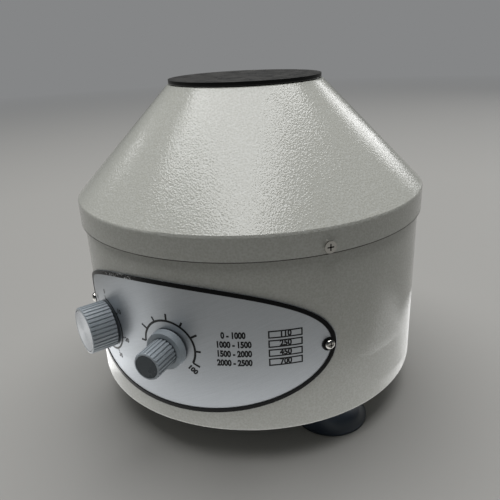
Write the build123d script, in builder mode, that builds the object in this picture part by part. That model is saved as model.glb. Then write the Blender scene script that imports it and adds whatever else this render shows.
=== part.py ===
from build123d import *
import os
from math import cos, pi, radians, sin, sqrt, tan

# A bench centrifuge: a pressed drum on three suction feet, a conical hood with a lift-off lid,
# and a rotor that holds six tubes at a fixed slant on the shaft of a brushed motor.
# Millimetres, +Z up. The origin is where the rotor's axis meets the bench. The panel faces -Y.

os.makedirs("parts", exist_ok=True)

# Fits and gaps
running_fit = 0.05  # radial, a shaft in what it turns in
push_fit = 0.02  # radial, a piece pressed on or in
thread_fit = 0.05  # radial, a screw in the hole that it bites
bolt_clearance = 0.25  # radial, a screw in a hole that it passes
face_gap = 0.1  # between two faces that all but touch
free_gap = 0.3  # between parts that slide or lift apart

# Bearings round the axis, in degrees from +X
front = -90.0
rear = -front

# Swept radius, from the rotor's axis to the tips of the tubes, which the bowl and drum follow
swept_radius = 100.0

# Suction feet
foot_lift = 26.0  # bench to the drum's lower edge
foot_inset = 32.7  # of their circle, from the drum's side
foot_count = 3
foot_turn = 60.0  # first foot, from the front
foot_lip_radius = 27.0
foot_lip_height = 1.8
foot_lip_width = 3.5
foot_lip_round = 0.7
foot_shoulder_radius = 15.0
foot_shoulder_height = 13.0
foot_neck_radius = 11.0
foot_hollow_height = 8.0
foot_screw_radius = 2.5
foot_screw_bite = 9.0

# Drum, a pressed shell turned in at both ends
drum_surround = 20.7  # outside the bowl
drum_wall = 1.2
drum_height = 138.0
drum_bend = 2.6
drum_bottom_flange = 13.0

# Hood, a skirt over the drum's top and a cone up to the mouth
hood_wall = 1.5
hood_lap = 15.5
hood_bend = 2.5
skirt_gap = 0.8
skirt_height = 16.2
cone_rise = 74.5
cone_top_radius = 56.7
hood_rim = 4.7  # from the cone's upper corner in to the mouth
hood_screw_radius = 2.0
hood_screw_length = 6.0
hood_screw_lift = 5.3  # above the skirt's lower edge
hood_screw_count = 3
hood_screw_turn = 46.1  # first screw, from the front

# Chamber bowl, hung in the drum by its flange
bowl_wall = 1.0
bowl_gap = 7.0  # outside the swept circle
bowl_bend = 5.0
bowl_flange_inset = 1.0
bowl_screw_radius = 1.5
bowl_screw_length = 6.0
bowl_screw_inset = 4.2  # from the bend's end
bowl_screw_count = 4
gasket_inset = 7.2  # of its inner edge, from the drum's side
gasket_width = 5.0

# Lid, a plug with a rim
lid_inset = 0.8  # inside the cone's upper corner
lid_height = 3.0
lid_roof = 2.0
lid_round = 0.8
spigot_gap = 0.6
spigot_wall = 2.5
spigot_depth = 13.0
seal_width = 1.8
seal_inset = 0.9
seal_height = 1.3

# Base plate
base_wall = 1.5
base_gap = 0.3  # inside the drum's lower bend
base_screw_radius = 2.0
base_screw_length = 5.0
base_screw_count = 6
base_vent_count = 12
base_vent_length = 16.0
base_vent_width = 4.0
base_vent_circle = 28.0

# Motor, hung on three rubber blocks
isolator_radius = 9.0
isolator_height = 14.0
isolator_circle = 52.0
isolator_count = 3
isolator_screw_radius = 2.0
bracket_wall = 2.0
bracket_radius = 62.0
bracket_bore = 16.0
motor_radius = 41.0
motor_wall = 1.5
motor_length = 43.0
bell_height = 13.15
bell_wall = 2.5
bell_floor = 3.0
bell_boss_wall = 3.0
bell_bore = 7.0
motor_head_gap = 5.0

# Bearings of the motor
race_outer_radius = 13.0
race_outer_land = 10.6
race_inner_land = 7.4
race_width = 8.0
ball_radius = 2.4
ball_count = 9

# Shaft
journal_radius = 5.0
armature_seat_radius = 6.0
rotor_seat_radius = 4.0
shaft_foot_gap = 1.5

# Armature, field and commutator
core_length = 20.0
air_gap = 1.0
slot_count = 12
slot_radius = 2.4
slot_depth = 3.0
winding_height = 5.5
winding_inner_radius = 9.0
winding_inset = 2.5
commutator_radius = 11.0
commutator_length = 10.0
commutator_gap = 2.5
commutator_bar_count = 24
commutator_slit = 0.5
yoke_wall = 4.0
pole_length = 10.9  # from the air gap to the yoke
pole_neck_width = 18.0
pole_shoe_thickness = 3.0
pole_shoe_span = 110.0
coil_thickness = 5.2
coil_depth = 3.4
brush_width = 5.0
brush_height = 7.0
brush_length = 14.0
holder_wall = 1.0
holder_standoff = 2.0
holder_reach = 2.5

# Rubber boot round the shaft
boot_hole_radius = 16.0
boot_flange = 8.0
boot_wall = 1.5
boot_height = 7.0

# Rotor head and the shields that carry the tubes
tube_tilt = 45.0
tube_count = 6
tube_mouth_radius = 30.0
rotor_clearance = 6.0
shield_bore = 9.5
shield_wall = 1.5
collar_radius = 13.0
collar_thickness = 2.0
cushion_depth = 3.0
hub_radius = 14.0
hub_height = 22.0
hub_drop = 36.0  # from the tube mouths down to the hub's lower face
dish_drop = 3.0
dish_thickness = 4.0
dish_radius = 46.0
boss_radius = 15.0
boss_length = 12.0
rotor_thread_length = 10.0
rotor_nut_radius = 8.5
rotor_nut_height = 14.0

# Control panel, a bent plate with a moulded border
panel_lift = 60.6  # its middle, above the drum's lower edge
panel_thickness = 0.8
panel_reach = 49.27  # degrees to each side
panel_half_height = 46.6
border_width = 2.9
border_thickness = 0.5
panel_margin = 4.0  # of the ring that the plate is cut from
panel_screw_turn = 46.9
panel_screw_radius = 1.75
panel_screw_length = 6.0
eyelet_radius = 4.6
outline_points = 32

# Timer and its knob
timer_turn = -28.4
timer_drop = 2.7  # its axis, below the panel's middle
timer_width = 42.0
timer_corner = 4.0
timer_depth = 34.0
timer_bush_radius = 4.8
timer_shaft_radius = 3.0
timer_nut_radius = 8.0
timer_nut_height = 2.5
timer_knob_radius = 16.8
timer_knob_height = 18.0
timer_knob_flutes = 36

# Speed control and its knob
pot_radius = 12.0
pot_depth = 10.0
pot_bush_radius = 3.5
pot_shaft_radius = 2.5
pot_nut_radius = 6.0
pot_nut_height = 2.0
speed_knob_radius = 9.4
speed_knob_height = 24.0
speed_knob_flutes = 22
speed_skirt_radius = 13.5
speed_skirt_height = 5.6
speed_skirt_taper = 0.7
speed_skirt_round = 0.5

# Shared by both knobs
knob_gap = 0.6
knob_roof = 4.0
bush_reach = 6.0  # past the panel's face
shaft_tail = 8.0  # behind the drum's wall
flute_radius = 0.7
flute_lean = 0.15  # flute centres, outside the grip
knob_round = 1.2
cap_inset = 1.6
cap_sink = 0.35

# Speed board
board_setback = 39.7  # of its middle, from the drum's side
board_along = 20.0
board_width = 30.0
board_length = 70.0
board_thickness = 1.6
board_post_radius = 2.5
board_post_height = 11.0
board_post_inset = 4.0
board_part_count = 4
board_box_size = (18.0, 12.0, 12.0)
board_can_radius = 6.0
board_can_height = 16.0
board_sink_size = (20.0, 4.0, 22.0)
board_choke_radius = 6.5
board_choke_bulk = 2.6

# Power module at the rear: socket, fuse drawer and switch in one housing
module_width = 30.5
module_height = 58.0
module_flange = 3.0
module_corner = 3.0
module_gasket_thickness = 0.6
module_gasket_inset = 0.5
module_body_width = 27.0
module_body_height = 47.0
module_body_depth = 30.0
module_gap = 0.2  # round its body, in the drum's side
socket_width = 24.0
socket_height = 16.4
socket_depth = 18.0
socket_corner = 4.0
socket_drop = 13.8  # below the module's middle
pin_thickness = 2.0
pin_height = 4.0
pin_length = 14.0
pin_tail = 8.0
pin_spacing = 14.0
pin_offset = 2.0
drawer_width = 22.0
drawer_height = 7.2
drawer_depth = 22.0
drawer_rise = 1.0
drawer_lip = 1.2
drawer_gap = 0.2
drawer_wall = 1.0
drawer_corner = 1.0
fuse_radius = 2.5
fuse_length = 20.0
fuse_inset = 4.0
rocker_rise = 14.5
rocker_width = 18.8
rocker_swing_radius = 7.2
rocker_edge = 6.9
rocker_peak = 3.0
rocker_valley = 1.3
rocker_pivot_depth = 1.0
rocker_tilt = 7.0
trunnion_radius = 1.5
trunnion_length = 1.0

# Proportions of pan-head screws and hexagon nuts, in shank radii
pan_head_spread = 1.93
pan_head_rise = 1.27
pan_head_round = 1.0
recess_width = 0.42
recess_span = 2.2
recess_depth = 0.7
nut_spread = 1.9
nut_rise = 1.6
screw_end_gap = 1.0  # between a screw's end and the floor of its hole
screw_tail = 1.0  # past a nut

# Sizes that follow
bowl_radius = swept_radius + bowl_gap
drum_radius = bowl_radius + drum_surround
foot_circle_radius = drum_radius - foot_inset
gasket_inner_radius = drum_radius - gasket_inset
board_across = board_setback - drum_radius
drum_bottom = foot_lift
drum_top = drum_bottom + drum_height
drum_bore = drum_radius - drum_wall
drum_flange_bore = bowl_radius + bowl_bend
base_bottom = drum_bottom + drum_wall
base_top = base_bottom + base_wall
skirt_radius = drum_radius + skirt_gap + hood_wall
skirt_bottom = drum_top - hood_lap
skirt_top = skirt_bottom + skirt_height
mouth_radius = cone_top_radius - hood_rim
hood_top = skirt_top + cone_rise
hood_screw_height = skirt_bottom + hood_screw_lift
hood_screw_step = 360.0 / hood_screw_count
hood_screw_bearings = [front + hood_screw_turn + hood_screw_step * step for step in range(hood_screw_count)]
lid_bottom = hood_top + free_gap
lid_top = lid_bottom + lid_height
bracket_bottom = base_top + isolator_height
motor_bottom = bracket_bottom + bracket_wall
housing_bottom = motor_bottom + bell_height
housing_top = housing_bottom + motor_length
yoke_outer_radius = motor_radius - motor_wall - face_gap
yoke_bore = yoke_outer_radius - yoke_wall
shoe_bore = yoke_bore - pole_length
core_radius = shoe_bore - air_gap
motor_top = housing_top + bell_height
bowl_floor = motor_top + motor_head_gap + bowl_wall
bowl_top = drum_top + bowl_wall
panel_middle = drum_bottom + panel_lift
timer_middle = panel_middle - timer_drop
panel_face = drum_radius + panel_thickness
border_face = panel_face + border_thickness
panel_half_length = panel_face * radians(panel_reach)

# Rotor geometry that follows
shield_radius = shield_bore + shield_wall
tube_lean = radians(tube_tilt)
shield_length = (swept_radius - shield_radius - tube_mouth_radius) / sin(tube_lean)
tube_mouth_height = bowl_floor + rotor_clearance + shield_radius + shield_length * cos(tube_lean)
hub_bottom = tube_mouth_height - hub_drop
hub_top = hub_bottom + hub_height


def outward(bearing, radius, height):
    # plane on the drum's side, its normal away from the axis and its y axis up
    angle = radians(bearing)
    return Plane(
        origin=(radius * cos(angle), radius * sin(angle), height),
        x_dir=(-sin(angle), cos(angle), 0),
        z_dir=(cos(angle), sin(angle), 0),
    )


def facing_down(radius, bearing, height):
    # plane that faces the bench, for what is driven in from below
    angle = radians(bearing)
    return Plane(origin=(radius * cos(angle), radius * sin(angle), height), z_dir=(0, 0, -1))


def pressed_section(points, bend, wall):
    # half section of a pressed shell, with the sheet to the left of the line
    with BuildSketch(Plane.XZ) as section:
        with BuildLine():
            FilletPolyline(*points, radius=bend)
            offset(amount=wall, side=Side.LEFT)
        make_face()
    return section.sketch


def ring_section(inner, outer, low, high):
    # half section of a plain ring
    with BuildSketch(Plane.XZ) as section:
        with Locations((inner, low)):
            Rectangle(outer - inner, high - low, align=(Align.MIN, Align.MIN))
    return section.sketch


def cone_underside(radius):
    # height of the hood's inner surface
    slope = cone_rise / (skirt_radius - cone_top_radius)
    return skirt_top + (skirt_radius - radius) * slope - hood_wall * sqrt(1 + slope**2)


def pan_screw(shank, length):
    # head up, with the head's seat on the plane
    head_radius = shank * pan_head_spread
    head_rise = shank * pan_head_rise
    with BuildPart() as screw:
        with BuildSketch(Plane.XZ):
            Rectangle(head_radius, head_rise, align=(Align.MIN, Align.MIN))
            fillet(vertices().sort_by(Axis.X)[-2:].sort_by(Axis.Z)[-1], shank * pan_head_round)
            Rectangle(shank, length, align=(Align.MIN, Align.MAX))
        revolve(axis=Axis.Z)
        with BuildSketch(Plane.XY.offset(head_rise)):
            Rectangle(shank * recess_span, shank * recess_width)
            Rectangle(shank * recess_width, shank * recess_span)
        extrude(amount=-shank * recess_depth, mode=Mode.SUBTRACT)
    return screw.part


def hex_nut(bore, radius, height):
    with BuildPart() as nut:
        with BuildSketch():
            RegularPolygon(radius, 6)
            Circle(bore, mode=Mode.SUBTRACT)
        extrude(amount=height)
    return nut.part


def fluted_grip(radius, length, flutes):
    # a fluted cylinder with a rounded front edge and a sunk cap
    with BuildPart() as grip:
        with BuildSketch():
            Circle(radius)
            with PolarLocations(radius + flute_lean, flutes):
                Circle(flute_radius, mode=Mode.SUBTRACT)
        extrude(amount=length)
        with BuildSketch(Plane.XZ):
            Rectangle(radius + face_gap, length, align=(Align.MIN, Align.MIN))
            fillet(vertices().sort_by(Axis.X)[-2:].sort_by(Axis.Z)[-1], knob_round)
        revolve(axis=Axis.Z, mode=Mode.INTERSECT)
        with BuildSketch(Plane.XY.offset(length)):
            Circle(radius - cap_inset)
        extrude(amount=-cap_sink, mode=Mode.SUBTRACT)
    return grip.part


def wrapped_outline(turn, half_length, half_height):
    # an ellipse laid round the drum, seen along the panel's middle line
    points = []
    for step in range(outline_points):
        around = 2 * pi * step / outline_points
        bend = radians(turn) + half_length * cos(around) / panel_face
        points.append((panel_face * sin(bend), panel_middle + half_height * sin(around)))
    with BuildSketch(Plane.XZ) as outline:
        with BuildLine():
            Spline(*points, periodic=True)
        make_face()
    return outline.sketch


# Feet
foot_hollow_radius = foot_lip_radius - foot_lip_width
foot_dome_radius = (foot_hollow_radius**2 + foot_hollow_height**2) / (2 * foot_hollow_height)
foot_turns = [front + foot_turn + 360.0 * step / foot_count for step in range(foot_count)]
with BuildPart() as foot_blank:
    with BuildSketch(Plane.XZ) as foot_half:
        with BuildLine():
            lip = Polyline(
                (0, base_bottom),
                (foot_neck_radius, base_bottom),
                (foot_neck_radius, foot_shoulder_height),
                (foot_shoulder_radius, foot_shoulder_height),
            )
            flank = ThreePointArc(
                lip @ 1,
                (
                    (foot_shoulder_radius + foot_lip_radius) / 2 - foot_lip_height,
                    (foot_shoulder_height + foot_lip_height) / 2 - foot_lip_height,
                ),
                (foot_lip_radius, foot_lip_height),
            )
            Polyline(flank @ 1, (foot_lip_radius, 0), (0, 0), lip @ 0)
        make_face()
        fillet(foot_half.vertices().sort_by(Axis.X)[-2:].sort_by(Axis.Z)[-1], foot_lip_round)
    revolve(axis=Axis.Z)
    with Locations((0, 0, foot_hollow_height - foot_dome_radius)):
        Sphere(foot_dome_radius, mode=Mode.SUBTRACT)
    with Locations((0, 0, base_bottom)):
        Hole(foot_screw_radius + thread_fit, foot_screw_bite)
for number, turn in enumerate(foot_turns, start=1):
    with BuildPart() as suction_foot:
        with PolarLocations(foot_circle_radius, 1, start_angle=turn):
            add(foot_blank.part)
    suction_foot.part.label = f"suction_foot_{number}"
    export_step(suction_foot.part, f"parts/suction_foot_{number}.step")

foot_screw = pan_screw(foot_screw_radius, base_wall + foot_screw_bite - screw_end_gap)
with BuildPart() as foot_screws:
    with Locations((0, 0, base_top)):
        with PolarLocations(foot_circle_radius, foot_count, start_angle=foot_turns[0]):
            add(foot_screw)
foot_screws.part.label = "foot_screws"
export_step(foot_screws.part, "parts/foot_screws.step")

# Drum shell
base_screw_circle = drum_bore - drum_bottom_flange / 2
bowl_screw_circle = drum_flange_bore + bowl_screw_inset
timer_plane = outward(front + timer_turn, drum_radius, timer_middle)
speed_plane = outward(front, drum_radius, panel_middle)
module_plane = outward(rear, drum_radius + module_gasket_thickness, panel_middle)
module_hole_width = module_body_width + 2 * module_gap
module_hole_height = module_body_height + 2 * module_gap
panel_screw_turns = (-panel_screw_turn, panel_screw_turn)
drum_line = [
    (drum_bore - drum_bottom_flange, drum_bottom),
    (drum_radius, drum_bottom),
    (drum_radius, drum_top),
    (drum_flange_bore, drum_top),
]
with BuildPart() as drum_shell:
    add(pressed_section(drum_line, drum_bend, drum_wall))
    revolve(axis=Axis.Z)
    with Locations(*[outward(bearing, drum_radius, hood_screw_height) for bearing in hood_screw_bearings]):
        Hole(hood_screw_radius + thread_fit, 2 * drum_wall)
    with Locations(*[outward(front + turn, drum_radius, panel_middle) for turn in panel_screw_turns]):
        Hole(panel_screw_radius + thread_fit, 2 * drum_wall)
    with Locations(timer_plane):
        Hole(timer_bush_radius + bolt_clearance, 2 * drum_wall)
    with Locations(speed_plane):
        Hole(pot_bush_radius + bolt_clearance, 2 * drum_wall)
    with Locations((0, 0, drum_top)):
        with PolarLocations(bowl_screw_circle, bowl_screw_count):
            Hole(bowl_screw_radius + thread_fit, 2 * drum_wall)
    with Locations((0, 0, drum_bottom)):
        with PolarLocations(base_screw_circle, base_screw_count):
            Hole(base_screw_radius + bolt_clearance, 2 * drum_wall)
    with BuildSketch(module_plane):
        Rectangle(module_hole_width, module_hole_height)
    extrude(amount=4 * drum_wall, both=True, mode=Mode.SUBTRACT)
drum_shell.part.label = "drum_shell"
export_step(drum_shell.part, "parts/drum_shell.step")

# Base plate
vent_turn = 360.0 / base_vent_count / 2
with BuildPart() as base_plate:
    add(ring_section(0, drum_radius - drum_bend - base_gap, base_bottom, base_top))
    revolve(axis=Axis.Z)
    with BuildSketch(Plane.XY.offset(base_bottom)):
        with PolarLocations(base_vent_circle, base_vent_count, start_angle=vent_turn):
            SlotOverall(base_vent_length, base_vent_width)
    extrude(amount=base_wall, mode=Mode.SUBTRACT)
    with Locations((0, 0, base_top)):
        with PolarLocations(foot_circle_radius, foot_count, start_angle=foot_turns[0]):
            Hole(foot_screw_radius + bolt_clearance, 2 * base_wall)
        with PolarLocations(isolator_circle, isolator_count, start_angle=rear):
            Hole(isolator_screw_radius + bolt_clearance, 2 * base_wall)
        with PolarLocations(base_screw_circle, base_screw_count):
            Hole(base_screw_radius + thread_fit, 2 * base_wall)
base_plate.part.label = "base_plate"
export_step(base_plate.part, "parts/base_plate.step")

base_screw = pan_screw(base_screw_radius, base_screw_length)
base_screw_step = 360.0 / base_screw_count
base_screw_turns = [base_screw_step * step for step in range(base_screw_count)]
with BuildPart() as base_screws:
    with Locations(*[facing_down(base_screw_circle, turn, drum_bottom) for turn in base_screw_turns]):
        add(base_screw)
base_screws.part.label = "base_screws"
export_step(base_screws.part, "parts/base_screws.step")

# Hood
hood_line = [
    (skirt_radius, skirt_bottom),
    (skirt_radius, skirt_top),
    (cone_top_radius, hood_top),
    (mouth_radius, hood_top),
]
with BuildPart() as hood:
    add(pressed_section(hood_line, hood_bend, hood_wall))
    revolve(axis=Axis.Z)
    with Locations(*[outward(bearing, skirt_radius, hood_screw_height) for bearing in hood_screw_bearings]):
        Hole(hood_screw_radius + bolt_clearance, 2 * hood_wall)
hood.part.label = "hood"
export_step(hood.part, "parts/hood.step")

hood_screw = pan_screw(hood_screw_radius, hood_screw_length)
with BuildPart() as hood_screws:
    with Locations(*[outward(bearing, skirt_radius, hood_screw_height) for bearing in hood_screw_bearings]):
        add(hood_screw)
hood_screws.part.label = "hood_screws"
export_step(hood_screws.part, "parts/hood_screws.step")

# Chamber bowl
bowl_line = [
    (drum_radius - bowl_flange_inset, bowl_top),
    (bowl_radius, bowl_top),
    (bowl_radius, bowl_floor),
    (boot_hole_radius, bowl_floor),
]
with BuildPart() as chamber_bowl:
    add(pressed_section(bowl_line, bowl_bend, bowl_wall))
    revolve(axis=Axis.Z)
    with Locations((0, 0, bowl_top)):
        with PolarLocations(bowl_screw_circle, bowl_screw_count):
            Hole(bowl_screw_radius + bolt_clearance, 2 * bowl_wall)
chamber_bowl.part.label = "chamber_bowl"
export_step(chamber_bowl.part, "parts/chamber_bowl.step")

bowl_screw = pan_screw(bowl_screw_radius, bowl_screw_length)
with BuildPart() as bowl_screws:
    with Locations((0, 0, bowl_top)):
        with PolarLocations(bowl_screw_circle, bowl_screw_count):
            add(bowl_screw)
bowl_screws.part.label = "bowl_screws"
export_step(bowl_screws.part, "parts/bowl_screws.step")

# Gasket, from the bowl's flange up to the underside of the cone
gasket_outer_radius = gasket_inner_radius + gasket_width
with BuildPart() as hood_gasket:
    with BuildSketch(Plane.XZ):
        with BuildLine():
            Polyline(
                (gasket_inner_radius, bowl_top),
                (gasket_outer_radius, bowl_top),
                (gasket_outer_radius, cone_underside(gasket_outer_radius) - face_gap),
                (gasket_inner_radius, cone_underside(gasket_inner_radius) - face_gap),
                close=True,
            )
        make_face()
    revolve(axis=Axis.Z)
hood_gasket.part.label = "hood_gasket"
export_step(hood_gasket.part, "parts/hood_gasket.step")

# Lid
lid_radius = cone_top_radius - lid_inset
spigot_radius = mouth_radius - spigot_gap
seal_inner_radius = mouth_radius + seal_inset
seal_outer_radius = seal_inner_radius + seal_width
with BuildPart() as lid:
    with BuildSketch(Plane.XZ) as lid_half:
        with BuildLine():
            Polyline(
                (0, lid_top),
                (lid_radius, lid_top),
                (lid_radius, lid_bottom),
                (spigot_radius, lid_bottom),
                (spigot_radius, lid_bottom - spigot_depth),
                (spigot_radius - spigot_wall, lid_bottom - spigot_depth),
                (spigot_radius - spigot_wall, lid_top - lid_roof),
                (0, lid_top - lid_roof),
                close=True,
            )
        make_face()
        fillet(lid_half.vertices().group_by(Axis.Z)[-1].sort_by(Axis.X)[-1], lid_round)
    revolve(axis=Axis.Z)
    add(ring_section(seal_inner_radius, seal_outer_radius, lid_bottom, hood_top + seal_height))
    revolve(axis=Axis.Z, mode=Mode.SUBTRACT)
lid.part.label = "lid"
export_step(lid.part, "parts/lid.step")

with BuildPart() as lid_seal:
    add(ring_section(seal_inner_radius, seal_outer_radius, hood_top, hood_top + seal_height))
    revolve(axis=Axis.Z)
lid_seal.part.label = "lid_seal"
export_step(lid_seal.part, "parts/lid_seal.step")

# Motor mounting
with BuildPart() as isolators:
    with BuildSketch(Plane.XY.offset(base_top)):
        with PolarLocations(isolator_circle, isolator_count, start_angle=rear):
            Circle(isolator_radius)
            Circle(isolator_screw_radius + bolt_clearance, mode=Mode.SUBTRACT)
    extrude(amount=isolator_height)
isolators.part.label = "isolators"
export_step(isolators.part, "parts/isolators.step")

with BuildPart() as motor_bracket:
    with BuildSketch(Plane.XY.offset(bracket_bottom)):
        Circle(bracket_radius)
        Circle(bracket_bore, mode=Mode.SUBTRACT)
        with PolarLocations(isolator_circle, isolator_count, start_angle=rear):
            Circle(isolator_screw_radius + bolt_clearance, mode=Mode.SUBTRACT)
    extrude(amount=bracket_wall)
motor_bracket.part.label = "motor_bracket"
export_step(motor_bracket.part, "parts/motor_bracket.step")

isolator_nut_height = isolator_screw_radius * nut_rise
isolator_stack = base_wall + isolator_height + bracket_wall + isolator_nut_height
isolator_screw = pan_screw(isolator_screw_radius, isolator_stack + screw_tail)
isolator_nut = hex_nut(
    isolator_screw_radius + thread_fit, isolator_screw_radius * nut_spread, isolator_nut_height
)
isolator_turns = [rear + 360.0 * step / isolator_count for step in range(isolator_count)]
with BuildPart() as isolator_bolts:
    with Locations(*[facing_down(isolator_circle, turn, base_bottom) for turn in isolator_turns]):
        add(isolator_screw)
    with Locations((0, 0, motor_bottom)):
        with PolarLocations(isolator_circle, isolator_count, start_angle=rear):
            add(isolator_nut)
isolator_bolts.part.label = "isolator_bolts"
export_step(isolator_bolts.part, "parts/isolator_bolts.step")

# Motor housing and its two end bells
brush_height_middle = housing_bottom + commutator_gap / 2 + commutator_length / 2
holder_width = brush_width + 2 * (holder_wall + running_fit)
holder_height = brush_height + 2 * (holder_wall + running_fit)
brush_planes = [outward(bearing, 0, brush_height_middle) for bearing in (front, rear)]
with BuildPart() as motor_housing:
    add(ring_section(motor_radius - motor_wall, motor_radius, housing_bottom, housing_top))
    revolve(axis=Axis.Z)
    for plane in brush_planes:
        with BuildSketch(plane):
            Rectangle(holder_width + 2 * face_gap, holder_height + 2 * face_gap)
        extrude(amount=motor_radius + motor_wall, mode=Mode.SUBTRACT)
motor_housing.part.label = "motor_housing"
export_step(motor_housing.part, "parts/motor_housing.step")

bell_boss_radius = race_outer_radius + push_fit + bell_boss_wall
with BuildPart() as bell_blank:
    with BuildSketch(Plane.XZ):
        with BuildLine():
            Polyline(
                (bell_bore, 0),
                (motor_radius, 0),
                (motor_radius, bell_height),
                (motor_radius - bell_wall, bell_height),
                (motor_radius - bell_wall, bell_floor),
                (bell_boss_radius, bell_floor),
                (bell_boss_radius, bell_floor + race_width),
                (race_outer_radius + push_fit, bell_floor + race_width),
                (race_outer_radius + push_fit, bell_floor),
                (bell_bore, bell_floor),
                close=True,
            )
        make_face()
    revolve(axis=Axis.Z)
with BuildPart() as motor_lower_bell:
    with Locations((0, 0, motor_bottom)):
        add(bell_blank.part)
motor_lower_bell.part.label = "motor_lower_bell"
export_step(motor_lower_bell.part, "parts/motor_lower_bell.step")

with BuildPart() as motor_upper_bell:
    with Locations(facing_down(0, 0, motor_top)):
        add(bell_blank.part)
motor_upper_bell.part.label = "motor_upper_bell"
export_step(motor_upper_bell.part, "parts/motor_upper_bell.step")

# Ball bearings, one in each bell
race_bottoms = (motor_bottom + bell_floor, motor_top - bell_floor - race_width)
ball_circle = (race_outer_land + race_inner_land) / 2
with BuildPart() as bearing_outer_races:
    for bottom in race_bottoms:
        add(ring_section(race_outer_land, race_outer_radius, bottom, bottom + race_width))
        revolve(axis=Axis.Z)
        with Locations((0, 0, bottom + race_width / 2)):
            Torus(ball_circle, ball_radius + running_fit, mode=Mode.SUBTRACT)
bearing_outer_races.part.label = "bearing_outer_races"
export_step(bearing_outer_races.part, "parts/bearing_outer_races.step")

with BuildPart() as bearing_inner_races:
    for bottom in race_bottoms:
        add(ring_section(journal_radius + push_fit, race_inner_land, bottom, bottom + race_width))
        revolve(axis=Axis.Z)
        with Locations((0, 0, bottom + race_width / 2)):
            Torus(ball_circle, ball_radius + running_fit, mode=Mode.SUBTRACT)
bearing_inner_races.part.label = "bearing_inner_races"
export_step(bearing_inner_races.part, "parts/bearing_inner_races.step")

with BuildPart() as bearing_balls:
    for bottom in race_bottoms:
        with Locations((0, 0, bottom + race_width / 2)):
            with PolarLocations(ball_circle, ball_count):
                Sphere(ball_radius)
bearing_balls.part.label = "bearing_balls"
export_step(bearing_balls.part, "parts/bearing_balls.step")

# Armature stack, from the commutator up
commutator_bottom = brush_height_middle - commutator_length / 2
core_bottom = commutator_bottom + commutator_length + commutator_gap + winding_height
core_top = core_bottom + core_length
lower_race_top = race_bottoms[0] + race_width
upper_race_bottom = race_bottoms[1]
shaft_top = hub_top + rotor_thread_length
with BuildPart() as motor_shaft:
    with BuildSketch(Plane.XZ):
        with BuildLine():
            Polyline(
                (0, motor_bottom + shaft_foot_gap),
                (journal_radius, motor_bottom + shaft_foot_gap),
                (journal_radius, lower_race_top),
                (armature_seat_radius, lower_race_top),
                (armature_seat_radius, upper_race_bottom),
                (journal_radius, upper_race_bottom),
                (journal_radius, hub_bottom),
                (rotor_seat_radius, hub_bottom),
                (rotor_seat_radius, shaft_top),
                (0, shaft_top),
                close=True,
            )
        make_face()
    revolve(axis=Axis.Z)
motor_shaft.part.label = "motor_shaft"
export_step(motor_shaft.part, "parts/motor_shaft.step")

slot_circle = core_radius - slot_depth
with BuildPart() as armature_core:
    with BuildSketch(Plane.XY.offset(core_bottom)):
        Circle(core_radius)
        Circle(armature_seat_radius + push_fit, mode=Mode.SUBTRACT)
        with PolarLocations(slot_circle, slot_count):
            Circle(slot_radius, mode=Mode.SUBTRACT)
        with PolarLocations(core_radius, slot_count):
            Rectangle(2 * slot_depth, slot_radius, mode=Mode.SUBTRACT)
    extrude(amount=core_length)
armature_core.part.label = "armature_core"
export_step(armature_core.part, "parts/armature_core.step")

winding_radius = core_radius - winding_inset + face_gap
with BuildPart() as armature_winding:
    add(ring_section(winding_inner_radius, winding_radius, core_bottom - winding_height, core_bottom))
    add(ring_section(winding_inner_radius, winding_radius, core_top, core_top + winding_height))
    revolve(axis=Axis.Z)
    with BuildSketch(Plane.XY.offset(core_bottom)):
        with PolarLocations(slot_circle, slot_count):
            Circle(slot_radius - face_gap)
    extrude(amount=core_length)
armature_winding.part.label = "armature_winding"
export_step(armature_winding.part, "parts/armature_winding.step")

with BuildPart() as commutator:
    with BuildSketch(Plane.XY.offset(commutator_bottom)):
        Circle(commutator_radius)
        Circle(armature_seat_radius + push_fit, mode=Mode.SUBTRACT)
        with PolarLocations(commutator_radius, commutator_bar_count):
            Rectangle(2 * commutator_slit, commutator_slit, mode=Mode.SUBTRACT)
    extrude(amount=commutator_length)
commutator.part.label = "commutator"
export_step(commutator.part, "parts/commutator.step")

# Field: a yoke with two poles, and a coil round each pole's neck
shoe_radius = shoe_bore + pole_shoe_thickness
shoe_half_width = shoe_radius * sin(radians(pole_shoe_span / 2))
with BuildPart() as field_core:
    with BuildSketch(Plane.XY.offset(core_bottom)):
        Circle(shoe_radius)
        Rectangle(2 * shoe_radius, 2 * shoe_half_width, mode=Mode.INTERSECT)
        with Locations((0, 0)):
            Rectangle(2 * yoke_bore + yoke_wall, pole_neck_width)
        Circle(shoe_bore, mode=Mode.SUBTRACT)
        with Locations((0, 0)):
            Rectangle(shoe_radius, 2 * shoe_radius, mode=Mode.SUBTRACT)
    extrude(amount=core_length)
    add(ring_section(yoke_bore, yoke_outer_radius, core_bottom, core_top))
    revolve(axis=Axis.Z)
field_core.part.label = "field_core"
export_step(field_core.part, "parts/field_core.step")

coil_start = shoe_radius + face_gap
core_middle = (core_bottom + core_top) / 2
with BuildPart() as field_coils:
    for bearing in (0.0, 180.0):
        with BuildSketch(outward(bearing, coil_start, core_middle)):
            RectangleRounded(
                pole_neck_width + 2 * coil_thickness, core_length + 2 * coil_thickness, coil_thickness
            )
            Rectangle(pole_neck_width + 2 * face_gap, core_length + 2 * face_gap, mode=Mode.SUBTRACT)
        extrude(amount=coil_depth)
field_coils.part.label = "field_coils"
export_step(field_coils.part, "parts/field_coils.step")

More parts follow.
